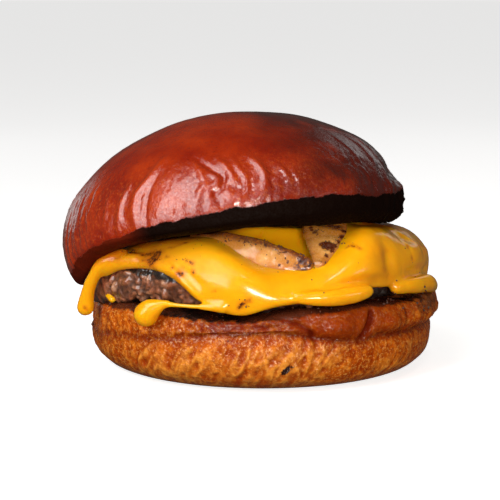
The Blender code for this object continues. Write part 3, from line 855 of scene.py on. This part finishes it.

# Where the heat browned it, and in the last two rows painted shade: depth and half width in millimetres, then
# points along each
SMEARS_AND_SHADE = (
    (1.05, 0.75, ((-31.6, -37.7, 40.8), (-34.4, -35.3, 40.1), (-37.1, -32.9, 39.3))),
    (1.25, 1.15, ((-32.0, -37.8, 40.3), (-33.5, -38.5, 39.0), (-34.3, -38.6, 38.4))),
    (0.62, 0.8, ((-33.5, -38.8, 38.0), (-33.4, -39.9, 36.6))),
    (1.10, 0.9, ((-40.9, -27.5, 39.6), (-40.2, -29.0, 39.3))),
    (0.62, 0.7, (
        (-46.6, -30.1, 37.5), (-44.2, -30.7, 37.8), (-41.3, -30.3, 37.4),
        (-38.1, -34.2, 38.0), (-35.3, -37.4, 38.3),
    )),
    (0.95, 0.35, ((-41.3, -30.3, 37.4), (-41.0, -30.6, 37.4))),
    (0.95, 0.35, ((-38.1, -34.2, 38.0), (-37.8, -34.5, 38.0))),
    (0.90, 0.4, ((-23.4, -40.0, 44.2), (-24.4, -39.9, 44.0))),
    (0.60, 0.5, ((-25.0, -39.8, 43.7), (-27.0, -39.4, 42.9), (-29.4, -38.2, 42.0))),
    (0.85, 0.4, ((-29.6, -40.8, 40.1), (-29.0, -41.6, 40.0))),
    (1.00, 0.5, ((-21.9, -47.8, 39.4), (-21.2, -48.3, 39.0))),
    (0.95, 0.4, ((-21.2, -49.4, 37.3), (-21.1, -49.8, 36.6))),
    (0.95, 0.35, ((-27.4, -45.4, 37.5), (-27.2, -45.6, 37.4))),
    (1.15, 0.65, ((-25.4, -47.5, 36.1), (-24.8, -48.1, 35.7))),
    (0.80, 0.3, ((-23.2, -46.7, 39.8), (-23.0, -46.8, 39.8))),
    (0.75, 0.35, ((-15.4, -53.2, 31.5), (-14.4, -53.6, 31.7))),
    (0.95, 0.55, ((-7.4, -55.2, 27.0), (-6.0, -55.7, 28.2))),
    (0.65, 0.5, ((-6.0, -55.7, 28.2), (-4.4, -56.0, 29.4))),
    (0.95, 0.4, ((-4.6, -56.0, 29.2), (-4.2, -56.0, 29.4))),
    (0.70, 0.30, ((25.0, -40.6, 43.0), (26.0, -40.2, 43.4))),
    (1.05, 0.40, ((26.9, -40.4, 43.5), (28.8, -42.0, 42.6))),
    (0.85, 0.35, ((44.6, -23.4, 40.5), (44.7, -23.2, 40.5))),
    (0.80, 0.35, ((45.8, -24.7, 37.2), (45.9, -24.5, 37.2))),
    (0.80, 0.25, ((18.7, -48.2, 35.0), (18.8, -48.2, 35.0))),
    (1.00, 0.4, ((-56.0, -22.9, 21.1), (-56.1, -22.6, 21.0))),
    (0.80, 0.25, ((-37.9, -48.1, 25.3), (-37.8, -48.1, 25.3))),
    # Painted shade under the fold over the tongue, and in the groove on the right
    (0.38, 1.8, ((24.5, -48.0, 32.9), (30.4, -44.3, 33.5), (36.5, -38.4, 32.5), (39.2, -35.5, 30.8))),
    (0.46, 2.8, ((35.8, -37.8, 40.2), (36.5, -38.8, 36.3), (37.9, -36.8, 33.8))),
)


def shape_cheese(cheese):
    points = points_of(cheese)
    angle = bearing(points)
    z = points[:, 2] / MM
    relief = 0.3 * lumps(points, 13 * MM, 2) + 0.05 * lumps(points, 3.5 * MM, 2, 4.0)
    for height, width, places in FOLDS:
        relief += ridge(points, np.array(places) * MM, width * MM, height)
    lift(cheese, relief * MM)

    # Browned marks, and painted shade from the last two rows
    brown = np.zeros(len(points))
    ragged = points + 0.5 * MM * drift(points, 1.6 * MM, (2.0, 5.0, 8.0))
    for depth, width, places in SMEARS_AND_SHADE:
        away, _ = along(ragged, np.array(places) * MM)
        brown = np.maximum(brown, depth * 1.3 * np.exp(-0.5 * (away / (width * MM)) ** 1.2))
    mark(cheese, "browned", brown)

    # Painted shade darkens it close under the crown. High at the front left it is duller, with brownish
    # patches of painted shade.
    room = (crown_underside(points[:, 0], points[:, 1]) - points[:, 2]) / MM
    sunk = onion_hollow(points[:, 0], points[:, 1]) / HOLLOW_DEPTH
    mark(cheese, "shaded", ease((3.6 - room) / 3) * (1 - ease(6 * sunk)))
    mark(cheese, "dull", bumps(((243, 42, 1.0),), angle) / MM * ease((z - 35) / 3))
    tint = bumps(((222, 26, 1.0),), angle) / MM * ease((z - 35.5) / 3)
    mark(cheese, "lip_shade_tone", tint * (0.5 + 0.5 * lumps(points, 6 * MM, 3, 3.0)))


def cheese_finish():
    melt = Finish("melted_cheese", {
        "Subsurface Weight": 0.55,
        "Subsurface Radius": (1.0, 0.5, 0.06),
        "Subsurface Scale": 4.0 * MM,
    })
    cloud = melt.grain(7 * MM, 3)
    fine = melt.grain(0.8 * MM, 4, 0.65)
    colour = melt.mix(melt.span(cloud, 0.3, 0.7), (0.84, 0.345, 0.003), (0.86, 0.395, 0.004))
    # Painted shade: brownish patches under the crown's lip at the front left, and darker close under the
    # crown
    colour = melt.mix(melt.calc("MULTIPLY", melt.mask("lip_shade_tone"), 0.8), colour, (0.70, 0.24, 0.012))
    colour = melt.mix(melt.calc("MULTIPLY", melt.mask("shaded"), 0.85), colour, (0.55, 0.12, 0.003))
    # Browned marks, and painted shade along the fold over the tongue and in the groove
    halo = melt.calc("ADD", melt.mask("browned"), melt.span(cloud, 0.3, 0.7, -0.2, 0.2))
    colour = melt.mix(melt.span(halo, 0.10, 0.85, 0, 0.85), colour, (0.50, 0.12, 0.005))
    scorched = melt.calc("ADD", melt.mask("browned"), melt.span(fine, 0.3, 0.7, -0.45, 0.25))
    colour = melt.mix(melt.span(scorched, 0.62, 0.98), colour, (0.060, 0.013, 0.004))
    melt.set(melt.shader.inputs["Specular IOR Level"], melt.span(melt.mask("dull"), 0, 1, 0.5, 0.25))
    melt.relief(melt.grain(2.5 * MM, 2, 0.4), 0.06 * MM)
    smooth = melt.span(fine, 0.3, 0.7, 0.15, 0.22)
    return melt.done(colour, melt.calc("ADD", smooth, melt.span(melt.mask("dull"), 0, 1, 0, 0.28)))


rows = cheese_rows()
sheet = skin("sheet", rows, (0, 0, cheese_top(0, 0)), middle(rows[-1]))
runs = [drip("run", chain) for chain in DRIPS]
cheese = melt_together("cheese_melted", [sheet, *runs], MELT_GRAIN, MELT_SOFTNESS)
shape_cheese(cheese)
cheese.data.materials.append(cheese_finish())
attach(cheese, "root")
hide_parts("melted_cheese")

# ================================================================ onion
# Two petals from a slice of onion fried soft with the beef. They lie on the cheese under the crown:
# juicy and half clear, with faint ribs across them, golden brown at the edges and charred in spots.

# Chains of x, y, z, half width and half thickness in millimetres
FRONT_PETAL = (
    (-22.0, -25.0, 43.6, 0.9, 0.9), (-18.0, -31.0, 44.0, 1.7, 1.3), (-11.8, -37.0, 43.5, 3.4, 1.8),
    (-4.2, -41.0, 41.8, 4.3, 2.0), (3.0, -43.0, 40.0, 4.3, 2.0), (9.0, -44.2, 38.6, 3.5, 1.8),
    (13.8, -44.6, 37.9, 2.1, 1.4),
)
RIGHT_PETAL = (
    (16.3, -44.4, 38.0, 1.9, 1.3), (17.6, -39.8, 40.9, 3.8, 1.5), (18.3, -36.0, 43.2, 5.5, 1.6),
    (18.8, -32.0, 45.4, 6.6, 1.6), (19.1, -27.5, 47.3, 6.8, 1.5), (19.3, -23.0, 48.5, 5.8, 1.3),
)


def petal(name, rows, lean):
    """A curved strip of onion with rounded edges, leaning back from upright by lean degrees."""
    line = smooth_chain(rows, 14)
    centre, lean = line[:, :3], math.radians(lean)
    ahead = np.gradient(centre, axis=0)
    ahead /= np.linalg.norm(ahead, axis=1)[:, None]
    turn = np.linspace(0, 2 * np.pi, 64, endpoint=False)[:, None]
    c = np.sign(np.cos(turn)) * np.abs(np.cos(turn)) ** 0.7
    s = np.sign(np.sin(turn)) * np.abs(np.sin(turn)) ** 0.7
    loops = []
    for point, way, half_width, half_thick in zip(centre, ahead, line[:, 3], line[:, 4]):
        if lean < math.radians(45):
            out = np.cross(way, (0, 0, 1))
            wide = np.array([0, 0, math.cos(lean)]) - out / np.linalg.norm(out) * math.sin(lean)
        else:
            wide = np.cross(way, (0, -math.cos(lean), math.sin(lean)))
        wide /= np.linalg.norm(wide)
        thin = np.cross(way, wide)
        thin /= np.linalg.norm(thin)
        loops.append(point + wide * c * half_width + thin * s * half_thick)
    start = centre[0] - ahead[0] * 1.2 * MM
    return skin(name, np.array(loops), start, centre[-1] + ahead[-1] * 1.2 * MM), line


def shape_petal(onion, line, crease, chars, palest):
    """Faint ribs run across the petal. Where it met the pan it is browned."""
    points = points_of(onion)
    nearest = np.argmin(np.linalg.norm(points[:, None] - line[None, :, :3], axis=2), axis=1)
    away = points - line[nearest, :3]
    across = np.linalg.norm(away, axis=1) / line[nearest, 3]
    run = np.concatenate([[0], np.cumsum(np.linalg.norm(np.diff(line[:, :3], axis=0), axis=1))]) / MM
    wavy = lumps(points, 7 * MM, 2, 3.0)
    relief = 0.025 * np.sin(3.6 * run[nearest] + 1.2 * away[:, 2] / MM + 6.0 * wavy) * (0.5 + wavy)
    relief += 0.45 * lumps(points, 5 * MM, 2, 6.0) + 0.10 * lumps(points, 1.1 * MM, 3, 9.0)
    fold = ridge(points, np.array(crease) * MM, 0.55 * MM, 1.0)
    lift(onion, (relief - 0.6 * fold) * MM)
    mark(onion, "edge", np.maximum(ease((across - 0.5) / 0.5) * 0.8, fold))
    mark(onion, "upper", ease((away[:, 2] / line[nearest, 3] - 0.35) / 0.45))
    char = np.zeros(len(points))
    for x, y, z, radius, depth in chars:
        spot = np.linalg.norm(points - np.array((x, y, z)) * MM, axis=1) / (radius * MM)
        char = np.maximum(char, depth * (1.3 - 0.6 * spot))
    mark(onion, "charred", char)
    pale = np.linalg.norm(points - np.array(palest) * MM, axis=1) / (9 * MM)
    mark(onion, "golden", ease(pale - 0.3 + 0.5 * lumps(points, 4 * MM, 2, 5.0)))


def onion_finish():
    flesh = Finish("grilled_onion", {
        "Roughness": 0.25,
        "Subsurface Weight": 0.35,
        "Subsurface Radius": (1.0, 0.5, 0.22),
        "Subsurface Scale": 2.2 * MM,
        "Coat Weight": 0.4,
        "Coat Roughness": 0.12,
    })
    cloud = flesh.grain(3.5 * MM, 3)
    fine = flesh.grain(0.7 * MM, 4, 0.65)
    colour = flesh.mix(flesh.span(cloud, 0.3, 0.7), (0.74, 0.41, 0.12), (0.56, 0.22, 0.04))
    colour = flesh.mix(flesh.mask("golden"), colour, (0.52, 0.20, 0.030))
    golden = flesh.calc("MULTIPLY", flesh.mask("edge"), flesh.span(fine, 0.3, 0.65, 0.35, 1))
    colour = flesh.mix(golden, colour, (0.34, 0.085, 0.012))
    brown = flesh.calc("MULTIPLY", flesh.mask("upper"), flesh.span(fine, 0.28, 0.55))
    colour = flesh.mix(brown, colour, (0.15, 0.035, 0.010))
    burnt = flesh.calc("ADD", flesh.mask("charred"), flesh.span(fine, 0.3, 0.7, -0.4, 0.3))
    colour = flesh.mix(flesh.span(burnt, 0.35, 0.7), colour, (0.09, 0.018, 0.006))
    flesh.relief(flesh.grain(0.9 * MM, 3, 0.6), 0.10 * MM)
    return flesh.done(colour, flesh.span(fine, 0.3, 0.7, 0.18, 0.34))


# Charred spots: x, y, z and radius in millimetres, then how dark
FRONT_CHARS = (
    (11.5, -45.6, 39.6, 1.1, 1.2), (14.2, -45.4, 38.4, 0.8, 1.2), (11.8, -46.2, 36.8, 0.6, 1.1),
    (10.2, -46.0, 37.8, 1.6, 0.62), (13.0, -45.8, 38.0, 1.5, 0.62), (7.0, -46.0, 39.4, 0.5, 0.8),
    (4.6, -46.0, 38.2, 0.4, 1.0),
)
RIGHT_CHARS = (
    (19.3, -39.2, 43.3, 1.5, 1.25), (17.8, -39.0, 43.6, 0.9, 1.0), (20.6, -39.6, 42.6, 0.9, 0.9),
    (14.5, -30.8, 47.6, 0.6, 0.9), (15.6, -33.3, 46.4, 1.0, 0.7), (14.8, -32.0, 47.0, 0.5, 0.9),
    (24.6, -32.0, 46.6, 0.8, 1.05), (24.0, -34.4, 45.4, 0.8, 1.0), (23.0, -36.6, 44.4, 0.7, 0.95),
    (21.8, -38.6, 43.2, 0.7, 1.0), (20.6, -40.4, 42.0, 0.7, 1.05), (18.8, -42.4, 40.4, 0.7, 1.05),
    (17.2, -43.8, 38.8, 0.7, 0.9), (20.6, -30.0, 48.2, 2.0, 0.75), (17.4, -29.6, 48.0, 1.2, 0.7),
    (22.6, -30.6, 47.6, 1.6, 0.8),
)

# Points along the one fold in each petal, and the middle of its palest part, in millimetres
FRONT_FOLD = ((-10.2, -40.6, 45.2), (-9.6, -42.4, 43.0), (-8.6, -43.6, 40.4))
RIGHT_FOLD = ((24.5, -31.0, 46.6), (23.4, -36.0, 44.2), (20.4, -41.0, 41.2), (17.5, -43.2, 39.6))
FRONT_PALEST = (-3, -45, 41)
RIGHT_PALEST = (16, -40, 42)

grilled_onion = onion_finish()
onions = []
for name, node, rows, lean, crease, chars, palest in (
    ("onion_front", "onion_petal_front", FRONT_PETAL, 23, FRONT_FOLD, FRONT_CHARS, FRONT_PALEST),
    ("onion_right", "onion_petal_right", RIGHT_PETAL, 63, RIGHT_FOLD, RIGHT_CHARS, RIGHT_PALEST),
):
    onion, line = petal(name, rows, lean)
    shape_petal(onion, line, crease, chars, palest)
    onion.data.materials.append(grilled_onion)
    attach(onion, "root")
    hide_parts(node)
    onions.append(onion)

# ================================================================ crown, the upper half of the bun
# Brioche glazed with egg and baked dark: a glossy mahogany dome. Its thin skin shrank into steep
# wrinkles as it cooled. The cut side was grilled, so the edge and the lowest band are black.

CROWN_WIDEST_Z = 2 * MM
CROWN_TOP_Z = 37.1 * MM
CROWN_RING_SPACING = 0.62 * MM

# Where the black edge ends: angle in degrees, then height over the cut face in millimetres
CHAR_LINE = np.array([
    (0, 4.2), (20, 2.0), (60, 1.5), (120, 0.5), (165, -5.5), (195, -6.5), (201, -4.5),
    (209, -1.8), (227, 1.4), (236, 2.4), (242, 3.7), (250, 3.9), (261, 4.9), (275, 5.4),
    (290, 6.0), (299, 5.2), (326, 3.2), (340, 3.4), (350, 4.4),
])

# Wrinkles: height and half width in millimetres, then angle and height of points along each
WRINKLES = (
    (0.60, 1.1, ((237, 17.0), (234.6, 11.5), (233.6, 3.8))),
    (0.85, 1.4, ((249, 23.5), (244.8, 17.7), (241.0, 13.7), (240.2, 9.9), (241.3, 2.6))),
    (0.60, 5.0, ((248.0, 5.5), (252.5, 9.5), (257.0, 12.5))),
    (-0.45, 0.8, ((247.5, 17.5), (245.4, 12.0), (244.6, 7.0), (245.0, 3.0))),
    (0.65, 1.2, ((261.0, 21.0), (263.9, 16.6), (264.8, 14.1), (263.6, 11.5), (261.3, 6.8))),
    (0.60, 1.2, ((264.6, 18.2), (269.2, 15.3), (268.1, 13.0), (265.9, 12.2), (265.9, 9.7), (266.0, 6.0))),
    (-0.75, 0.8, ((261.7, 21.5), (267.0, 18.4), (271.4, 15.1), (270.0, 11.8), (267.6, 10.6), (269.0, 6.8))),
    (0.65, 1.1, ((269.8, 21.3), (272.2, 18.1), (274.0, 15.2), (274.8, 12.3))),
    (0.55, 1.0, ((275.0, 20.5), (276.6, 16.9), (278.0, 14.4), (278.0, 11.2))),
    (0.80, 2.3, ((270.5, 10.8), (273.8, 7.4), (277.0, 9.4))),
    (0.75, 1.2, ((280.5, 20.5), (283.3, 17.2), (284.8, 13.9), (283.8, 11.6), (281.6, 9.6))),
    (0.60, 1.2, ((286.0, 11.2), (282.6, 8.4), (278.6, 6.2))),
    (0.35, 0.8, ((289.3, 17.2), (291.4, 13.6), (292.5, 10.8))),
    (0.30, 0.8, ((294.0, 14.5), (295.4, 11.5), (295.0, 8.8))),
    (0.40, 1.0, ((219.2, 18.0), (218.8, 6.0))),
    (0.42, 0.9, ((229.0, 15.0), (227.4, 6.6))),
    (0.40, 1.1, ((209.5, 15.0), (209.0, 2.0))),
    (-0.55, 1.1, ((199.5, 12.0), (199.0, 2.0), (201.5, -6.0))),
    (0.55, 1.2, ((204.0, 6.0), (203.5, -3.0), (202.0, -9.0))),
    (0.45, 1.1, ((323.5, 24.0), (325.0, 19.5), (324.0, 13.0))),
    (0.45, 1.1, ((333.0, 26.0), (335.4, 20.0), (333.0, 13.5), (329.0, 9.0))),
    (0.50, 1.2, ((341.0, 24.0), (341.8, 17.5), (338.0, 11.5), (333.0, 6.0))),
    (-2.20, 2.8, ((8.0, 11.5), (357.0, 11.0), (349.0, 11.0), (341.0, 12.5))),
    (0.80, 1.8, ((352.0, 6.5), (348.0, 4.0), (345.5, 0.5))),
    (1.10, 2.2, ((338.0, 6.5), (334.5, 4.5), (334.0, 0.5))),
    (-0.80, 1.6, ((349.0, 19.0), (346.0, 12.0), (341.5, 6.0), (340.0, 2.0))),
    (0.90, 1.7, ((354.0, 8.0), (348.5, 3.0), (345.5, -2.0))),
)


def crown_rows():
    """Rings in the crown's own frame: z = 0 is its cut face."""
    drop = lip_drop(ANGLES)
    radius = CROWN_RADIUS + ripple(ANGLES, 2, 120, 0.3 * MM) + bumps(((180, 70, -0.8),))
    widest = CROWN_WIDEST_Z + bumps(((180, 70, -2.0),))
    inner = [rings(LIP_INNER_RADIUS * share, 0) for share in (0.2, 0.5, 0.75)]
    rows = [rings(LIP_INNER_RADIUS * 0.9, 0), rings(LIP_INNER_RADIUS, -0.1 * drop)]
    rows.append(rings(LIP_INNER_RADIUS + 2.5 * MM, -0.75 * drop))
    for degrees in (0, 30, 60, 90):
        turn = math.radians(degrees)
        out = (radius - LIP_OUTER_RADIUS) * math.sin(turn)
        rows.append(rings(LIP_OUTER_RADIUS + out, widest - (widest + drop) * math.cos(turn)))
    for degrees in (12, 24, 36, 48, 60, 72, 82, 87):
        turn = math.radians(degrees)
        sag = bumps(((180, 80, 1.5), (350, 80, 1.5))) * math.sin(2 * turn)
        height = widest + (CROWN_TOP_Z - widest) * math.sin(turn) - sag
        rows.append(rings(radius * math.cos(turn) ** 0.9, height))
    return np.concatenate([inner, smooth_rows(rows, CROWN_RING_SPACING)])


def on_crown(rows, places):
    """Points on the dome at pairs of an angle and a height in millimetres."""
    found = []
    for angle, z in places:
        column = rows[:, int(angle / 360 * len(ANGLES)) % len(ANGLES)]
        outer = column[len(column) // 5 :]
        found.append(outer[np.argmin(np.abs(outer[:, 2] - z * MM))])
    return found


def shape_crown(crown, rows):
    points = points_of(crown)
    angle = bearing(points)
    z = points[:, 2] / MM
    outside = np.maximum(ease((np.hypot(points[:, 0], points[:, 1]) / MM - 42) / 6), ease((z - 2) / 3))
    char_line = np.interp(angle, CHAR_LINE[:, 0], CHAR_LINE[:, 1], period=360)
    over = z - char_line - 0.7 * lumps(points, 6 * MM, 3, 4.0)

    # Broad unevenness, then steep wrinkles that start just over the black edge and fade upwards
    relief = 0.5 * lumps(points, 26 * MM, 2)
    band = ease((z - char_line) / 3 + 0.3) * ease((25 - z) / 12)
    warp = np.stack([lumps(points, 12 * MM, 2, 1.0), lumps(points, 12 * MM, 2, 7.0), 0 * z], -1) * 3.0 * MM
    steep = 1 - 2 * np.abs(lumps(points + warp, (3.6 * MM, 3.6 * MM, 17 * MM), 2, 3.0))
    patchy = ease(0.55 + 0.9 * lumps(points, 17 * MM, 2, 5.0))
    quiet = 1 - 0.75 * bumps(((258, 60, 1.0),), angle) / MM
    relief += 0.38 * steep * band * patchy * quiet

    # The dome sank in a little at its right end
    relief -= 1.1 * bumps(((354, 24, 1.0),), angle) / MM * ease((z + 3) / 4) * ease((22 - z) / 8)
    for height, width, places in WRINKLES:
        relief += ridge(points, on_crown(rows, places), width * MM, height)
    relief += 0.12 * band * lumps(points, 1.6 * MM, 3, 8.0) + 0.05 * lumps(points, 2.5 * MM, 3, 2.0)

    # The burnt edge is crumbly, most of all at the right end
    burnt = ease(-over / 1.2)
    ragged = bumps(((345, 28, 1.0),), angle) / MM
    relief += burnt * (0.18 + 0.8 * ragged) * lumps(points, 2.6 * MM, 4, 6.0)
    lift(crown, relief * outside * MM)

    # The char is black from the front left round to the right end, and brown elsewhere
    mark(crown, "burnt", ease(0.5 - over / 1.4))
    mark(crown, "black", np.maximum(ease((angle - 232) / 14), ease((52 - angle) / 34)))
    # A painted highlight, lighter where the relief is raised
    mark(crown, "raised_highlight", 0.5 + 0.45 * relief)
    mark(crown, "band", band)
    # Painted shade darkens the right side and the back, most of all low at the right end
    baked = bumps(((336, 66, 1.6), (90, 110, 0.6)), angle) / MM
    baked *= 0.8 + 0.6 * lumps(points, 11 * MM, 3, 9.0)
    baked += bumps(((356, 26, 1.6),), angle) / MM * ease((13 - z) / 6)
    mark(crown, "baked", baked)
    mark(crown, "under", 1 - outside)


def crown_finish():
    glaze = Finish("brioche_crust", {"Coat Roughness": 0.10, "Coat IOR": 1.6})
    broad = glaze.grain(14 * MM, 3)
    fine = glaze.grain(1.1 * MM, 4, 0.65)
    colour = glaze.mix(glaze.span(broad, 0.35, 0.65), (0.20, 0.0085, 0.001), (0.33, 0.025, 0.002))
    # A painted highlight, lighter where the relief is raised
    colour = glaze.mix(glaze.span(glaze.mask("raised_highlight"), 0.5, 0.95, 0, 0.4), colour, (0.52, 0.055, 0.005))
    # Painted sparkles: small orange glints over the wrinkled band
    sparkle_paint = glaze.calc("MULTIPLY", glaze.span(fine, 0.52, 0.72), glaze.mask("band"))
    colour = glaze.mix(glaze.calc("MULTIPLY", sparkle_paint, 0.5), colour, (0.60, 0.11, 0.012))
    colour = glaze.mix(glaze.span(fine, 0.28, 0.42, 0.5, 0.0), colour, (0.10, 0.008, 0.002))
    # Painted shade darkens the right side and the back, most of all low at the right end
    colour = glaze.mix(glaze.calc("MULTIPLY", glaze.mask("baked"), 0.92), colour, (0.055, 0.0045, 0.0015))
    edge = glaze.calc("ADD", glaze.mask("burnt"), glaze.span(fine, 0.3, 0.7, -0.25, 0.2))
    char = glaze.mix(glaze.mask("black"), (0.10, 0.010, 0.003), (0.005, 0.002, 0.0012))
    colour = glaze.mix(glaze.span(edge, 0.3, 0.7), colour, char)
    below = glaze.mix(glaze.mask("black"), (0.075, 0.007, 0.002), (0.006, 0.002, 0.0012))
    colour = glaze.mix(glaze.mask("under"), colour, below)
    pitted = glaze.span(glaze.mask("band"), 0, 1, 0.3, 1)
    glaze.relief(glaze.calc("MULTIPLY", glaze.grain(0.9 * MM, 3, 0.6), pitted), 0.20 * MM)
    glaze.relief(glaze.grain(0.45 * MM, 2, 0.6), 0.05 * MM)
    glaze.relief(glaze.grain(2.4 * MM, 2, 0.5), 0.12 * MM)

    # The egg wash ends at the burnt edge, and is thickest on the wrinkled band
    unburnt, above = glaze.span(edge, 0.3, 0.7, 1.0, 0.03), glaze.span(glaze.mask("under"), 0, 1, 1, 0)
    covered = glaze.calc("MULTIPLY", unburnt, above)
    specks = glaze.span(glaze.grain(0.6 * MM, 3, 0.7), 0.36, 0.64, 0.08, 1.0)
    glaze.set(glaze.shader.inputs["Specular IOR Level"], glaze.calc("MULTIPLY", covered, specks))
    wash = glaze.calc("MULTIPLY", glaze.mask("band"), 0.55)
    glaze.set(glaze.shader.inputs["Coat Weight"], glaze.calc("MULTIPLY", covered, wash))
    return glaze.done(colour, glaze.span(edge, 0.3, 0.7, 0.14, 0.55))


rows = crown_rows()
crown = skin("crown_glazed", rows, (0, 0, 0), (0, 0, CROWN_TOP_Z))
shape_crown(crown, rows)
tilt = Euler((0, -CROWN_ROLL, 0)).to_matrix() @ Euler((-CROWN_PITCH, 0, 0)).to_matrix()
crown.data.transform(Matrix.Translation(CROWN_CENTRE) @ tilt.to_4x4())
crown.data.materials.append(crown_finish())
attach(crown, "root")
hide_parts("bun_crown")

# ================================================================ burnt flecks
# Loose crumbs of black crust, scorched onion and browned cheese. The grill's heat dried and broke
# them off, and the melted cheese, the onion and the rims of the bread caught them.

# Where they lie: x, y, z and spread in millimetres, how many, and the size of each in millimetres
CRUMBS = (
    (-33.0, -38.0, 39.8, 3.4, 12, 0.24), (-41.0, -29.5, 38.6, 2.6, 8, 0.22),
    (-24.5, -46.0, 38.5, 4.5, 12, 0.20), (-6.0, -55.4, 28.2, 2.2, 8, 0.24),
    (-19.0, -41.0, 42.8, 7.0, 12, 0.18), (-2.0, -51.5, 34.0, 9.0, 8, 0.16),
    (27.2, -41.0, 43.2, 2.4, 5, 0.20), (24.0, -47.0, 36.0, 7.0, 6, 0.16),
    (44.0, -24.0, 39.0, 5.0, 5, 0.18), (-12.0, -40.0, 45.4, 2.4, 14, 0.30),
    (-6.0, -42.0, 45.6, 2.6, 20, 0.32), (0.0, -43.0, 44.0, 2.6, 22, 0.32),
    (5.5, -43.6, 42.4, 2.4, 22, 0.32), (11.0, -44.4, 40.2, 2.0, 20, 0.34),
    (13.8, -45.4, 37.8, 1.6, 14, 0.34), (7.0, -46.0, 36.6, 3.0, 10, 0.26),
    (19.2, -39.4, 43.2, 1.5, 12, 0.34), (16.0, -33.0, 46.6, 2.0, 10, 0.28),
    (22.6, -37.0, 44.0, 2.4, 14, 0.30), (17.0, -44.0, 38.6, 1.6, 12, 0.32),
    (21.5, -30.0, 47.8, 3.0, 14, 0.30), (-46.0, -24.0, 24.6, 4.0, 16, 0.36),
    (-38.0, -33.5, 24.4, 4.0, 16, 0.36), (-14.0, -51.0, 23.4, 6.0, 18, 0.34),
    (16.0, -50.0, 25.6, 6.0, 16, 0.34), (40.0, -33.0, 25.4, 5.0, 20, 0.40),
    (47.0, -22.0, 25.0, 5.0, 24, 0.44),
)


def crumb(bm, place, normal, size, rng):
    """One lumpy grain, pressed a little into what it lies on."""
    turn = Euler(rng.uniform(0, 2 * math.pi, 3)).to_matrix()
    stretch = np.array([1, rng.uniform(0.5, 1), rng.uniform(0.4, 0.8)]) * size * MM
    made = bmesh.ops.create_icosphere(bm, subdivisions=1, radius=1)["verts"]
    for vertex in made:
        bulge = 1 + rng.uniform(-0.25, 0.25)
        vertex.co = turn @ Vector(np.array(vertex.co) * stretch * bulge) + place + normal * (0.3 * size * MM)


def burnt_flecks(under):
    rng = np.random.default_rng(11)
    bm = bmesh.new()
    for x, y, z, spread, count, size in CRUMBS:
        for _ in range(count):
            near = Vector(np.array((x, y, z)) + rng.normal(0, spread / 2, 3)) * MM
            hits = [tree.find_nearest(near) for tree in under]
            place, normal, _, away = min(hits, key=lambda hit: hit[3])
            if away < 2.5 * MM and normal.y < 0.3:
                crumb(bm, place, normal, size * rng.uniform(0.5, 1.3), rng)
    mesh = bpy.data.meshes.new("burnt_flecks")
    bm.to_mesh(mesh)
    bm.free()
    flecks = bpy.data.objects.new("burnt_flecks", mesh)
    bpy.context.scene.collection.objects.link(flecks)
    return flecks


def fleck_finish():
    char = Finish("charred_crumbs", {})
    cloud = char.grain(1.6 * MM, 2)
    colour = char.mix(char.span(cloud, 0.35, 0.65), (0.022, 0.006, 0.003), (0.11, 0.026, 0.007))
    char.relief(char.grain(0.3 * MM, 2), 0.05 * MM)
    return char.done(colour, 0.5)


trees = []
for piece in (heel, cheese, *onions):
    mesh = piece.data
    spots = [vertex.co.copy() for vertex in mesh.vertices]
    trees.append(BVHTree.FromPolygons(spots, [tuple(face.vertices) for face in mesh.polygons]))
flecks = burnt_flecks(trees)
flecks.data.materials.append(fleck_finish())
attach(flecks, "root")
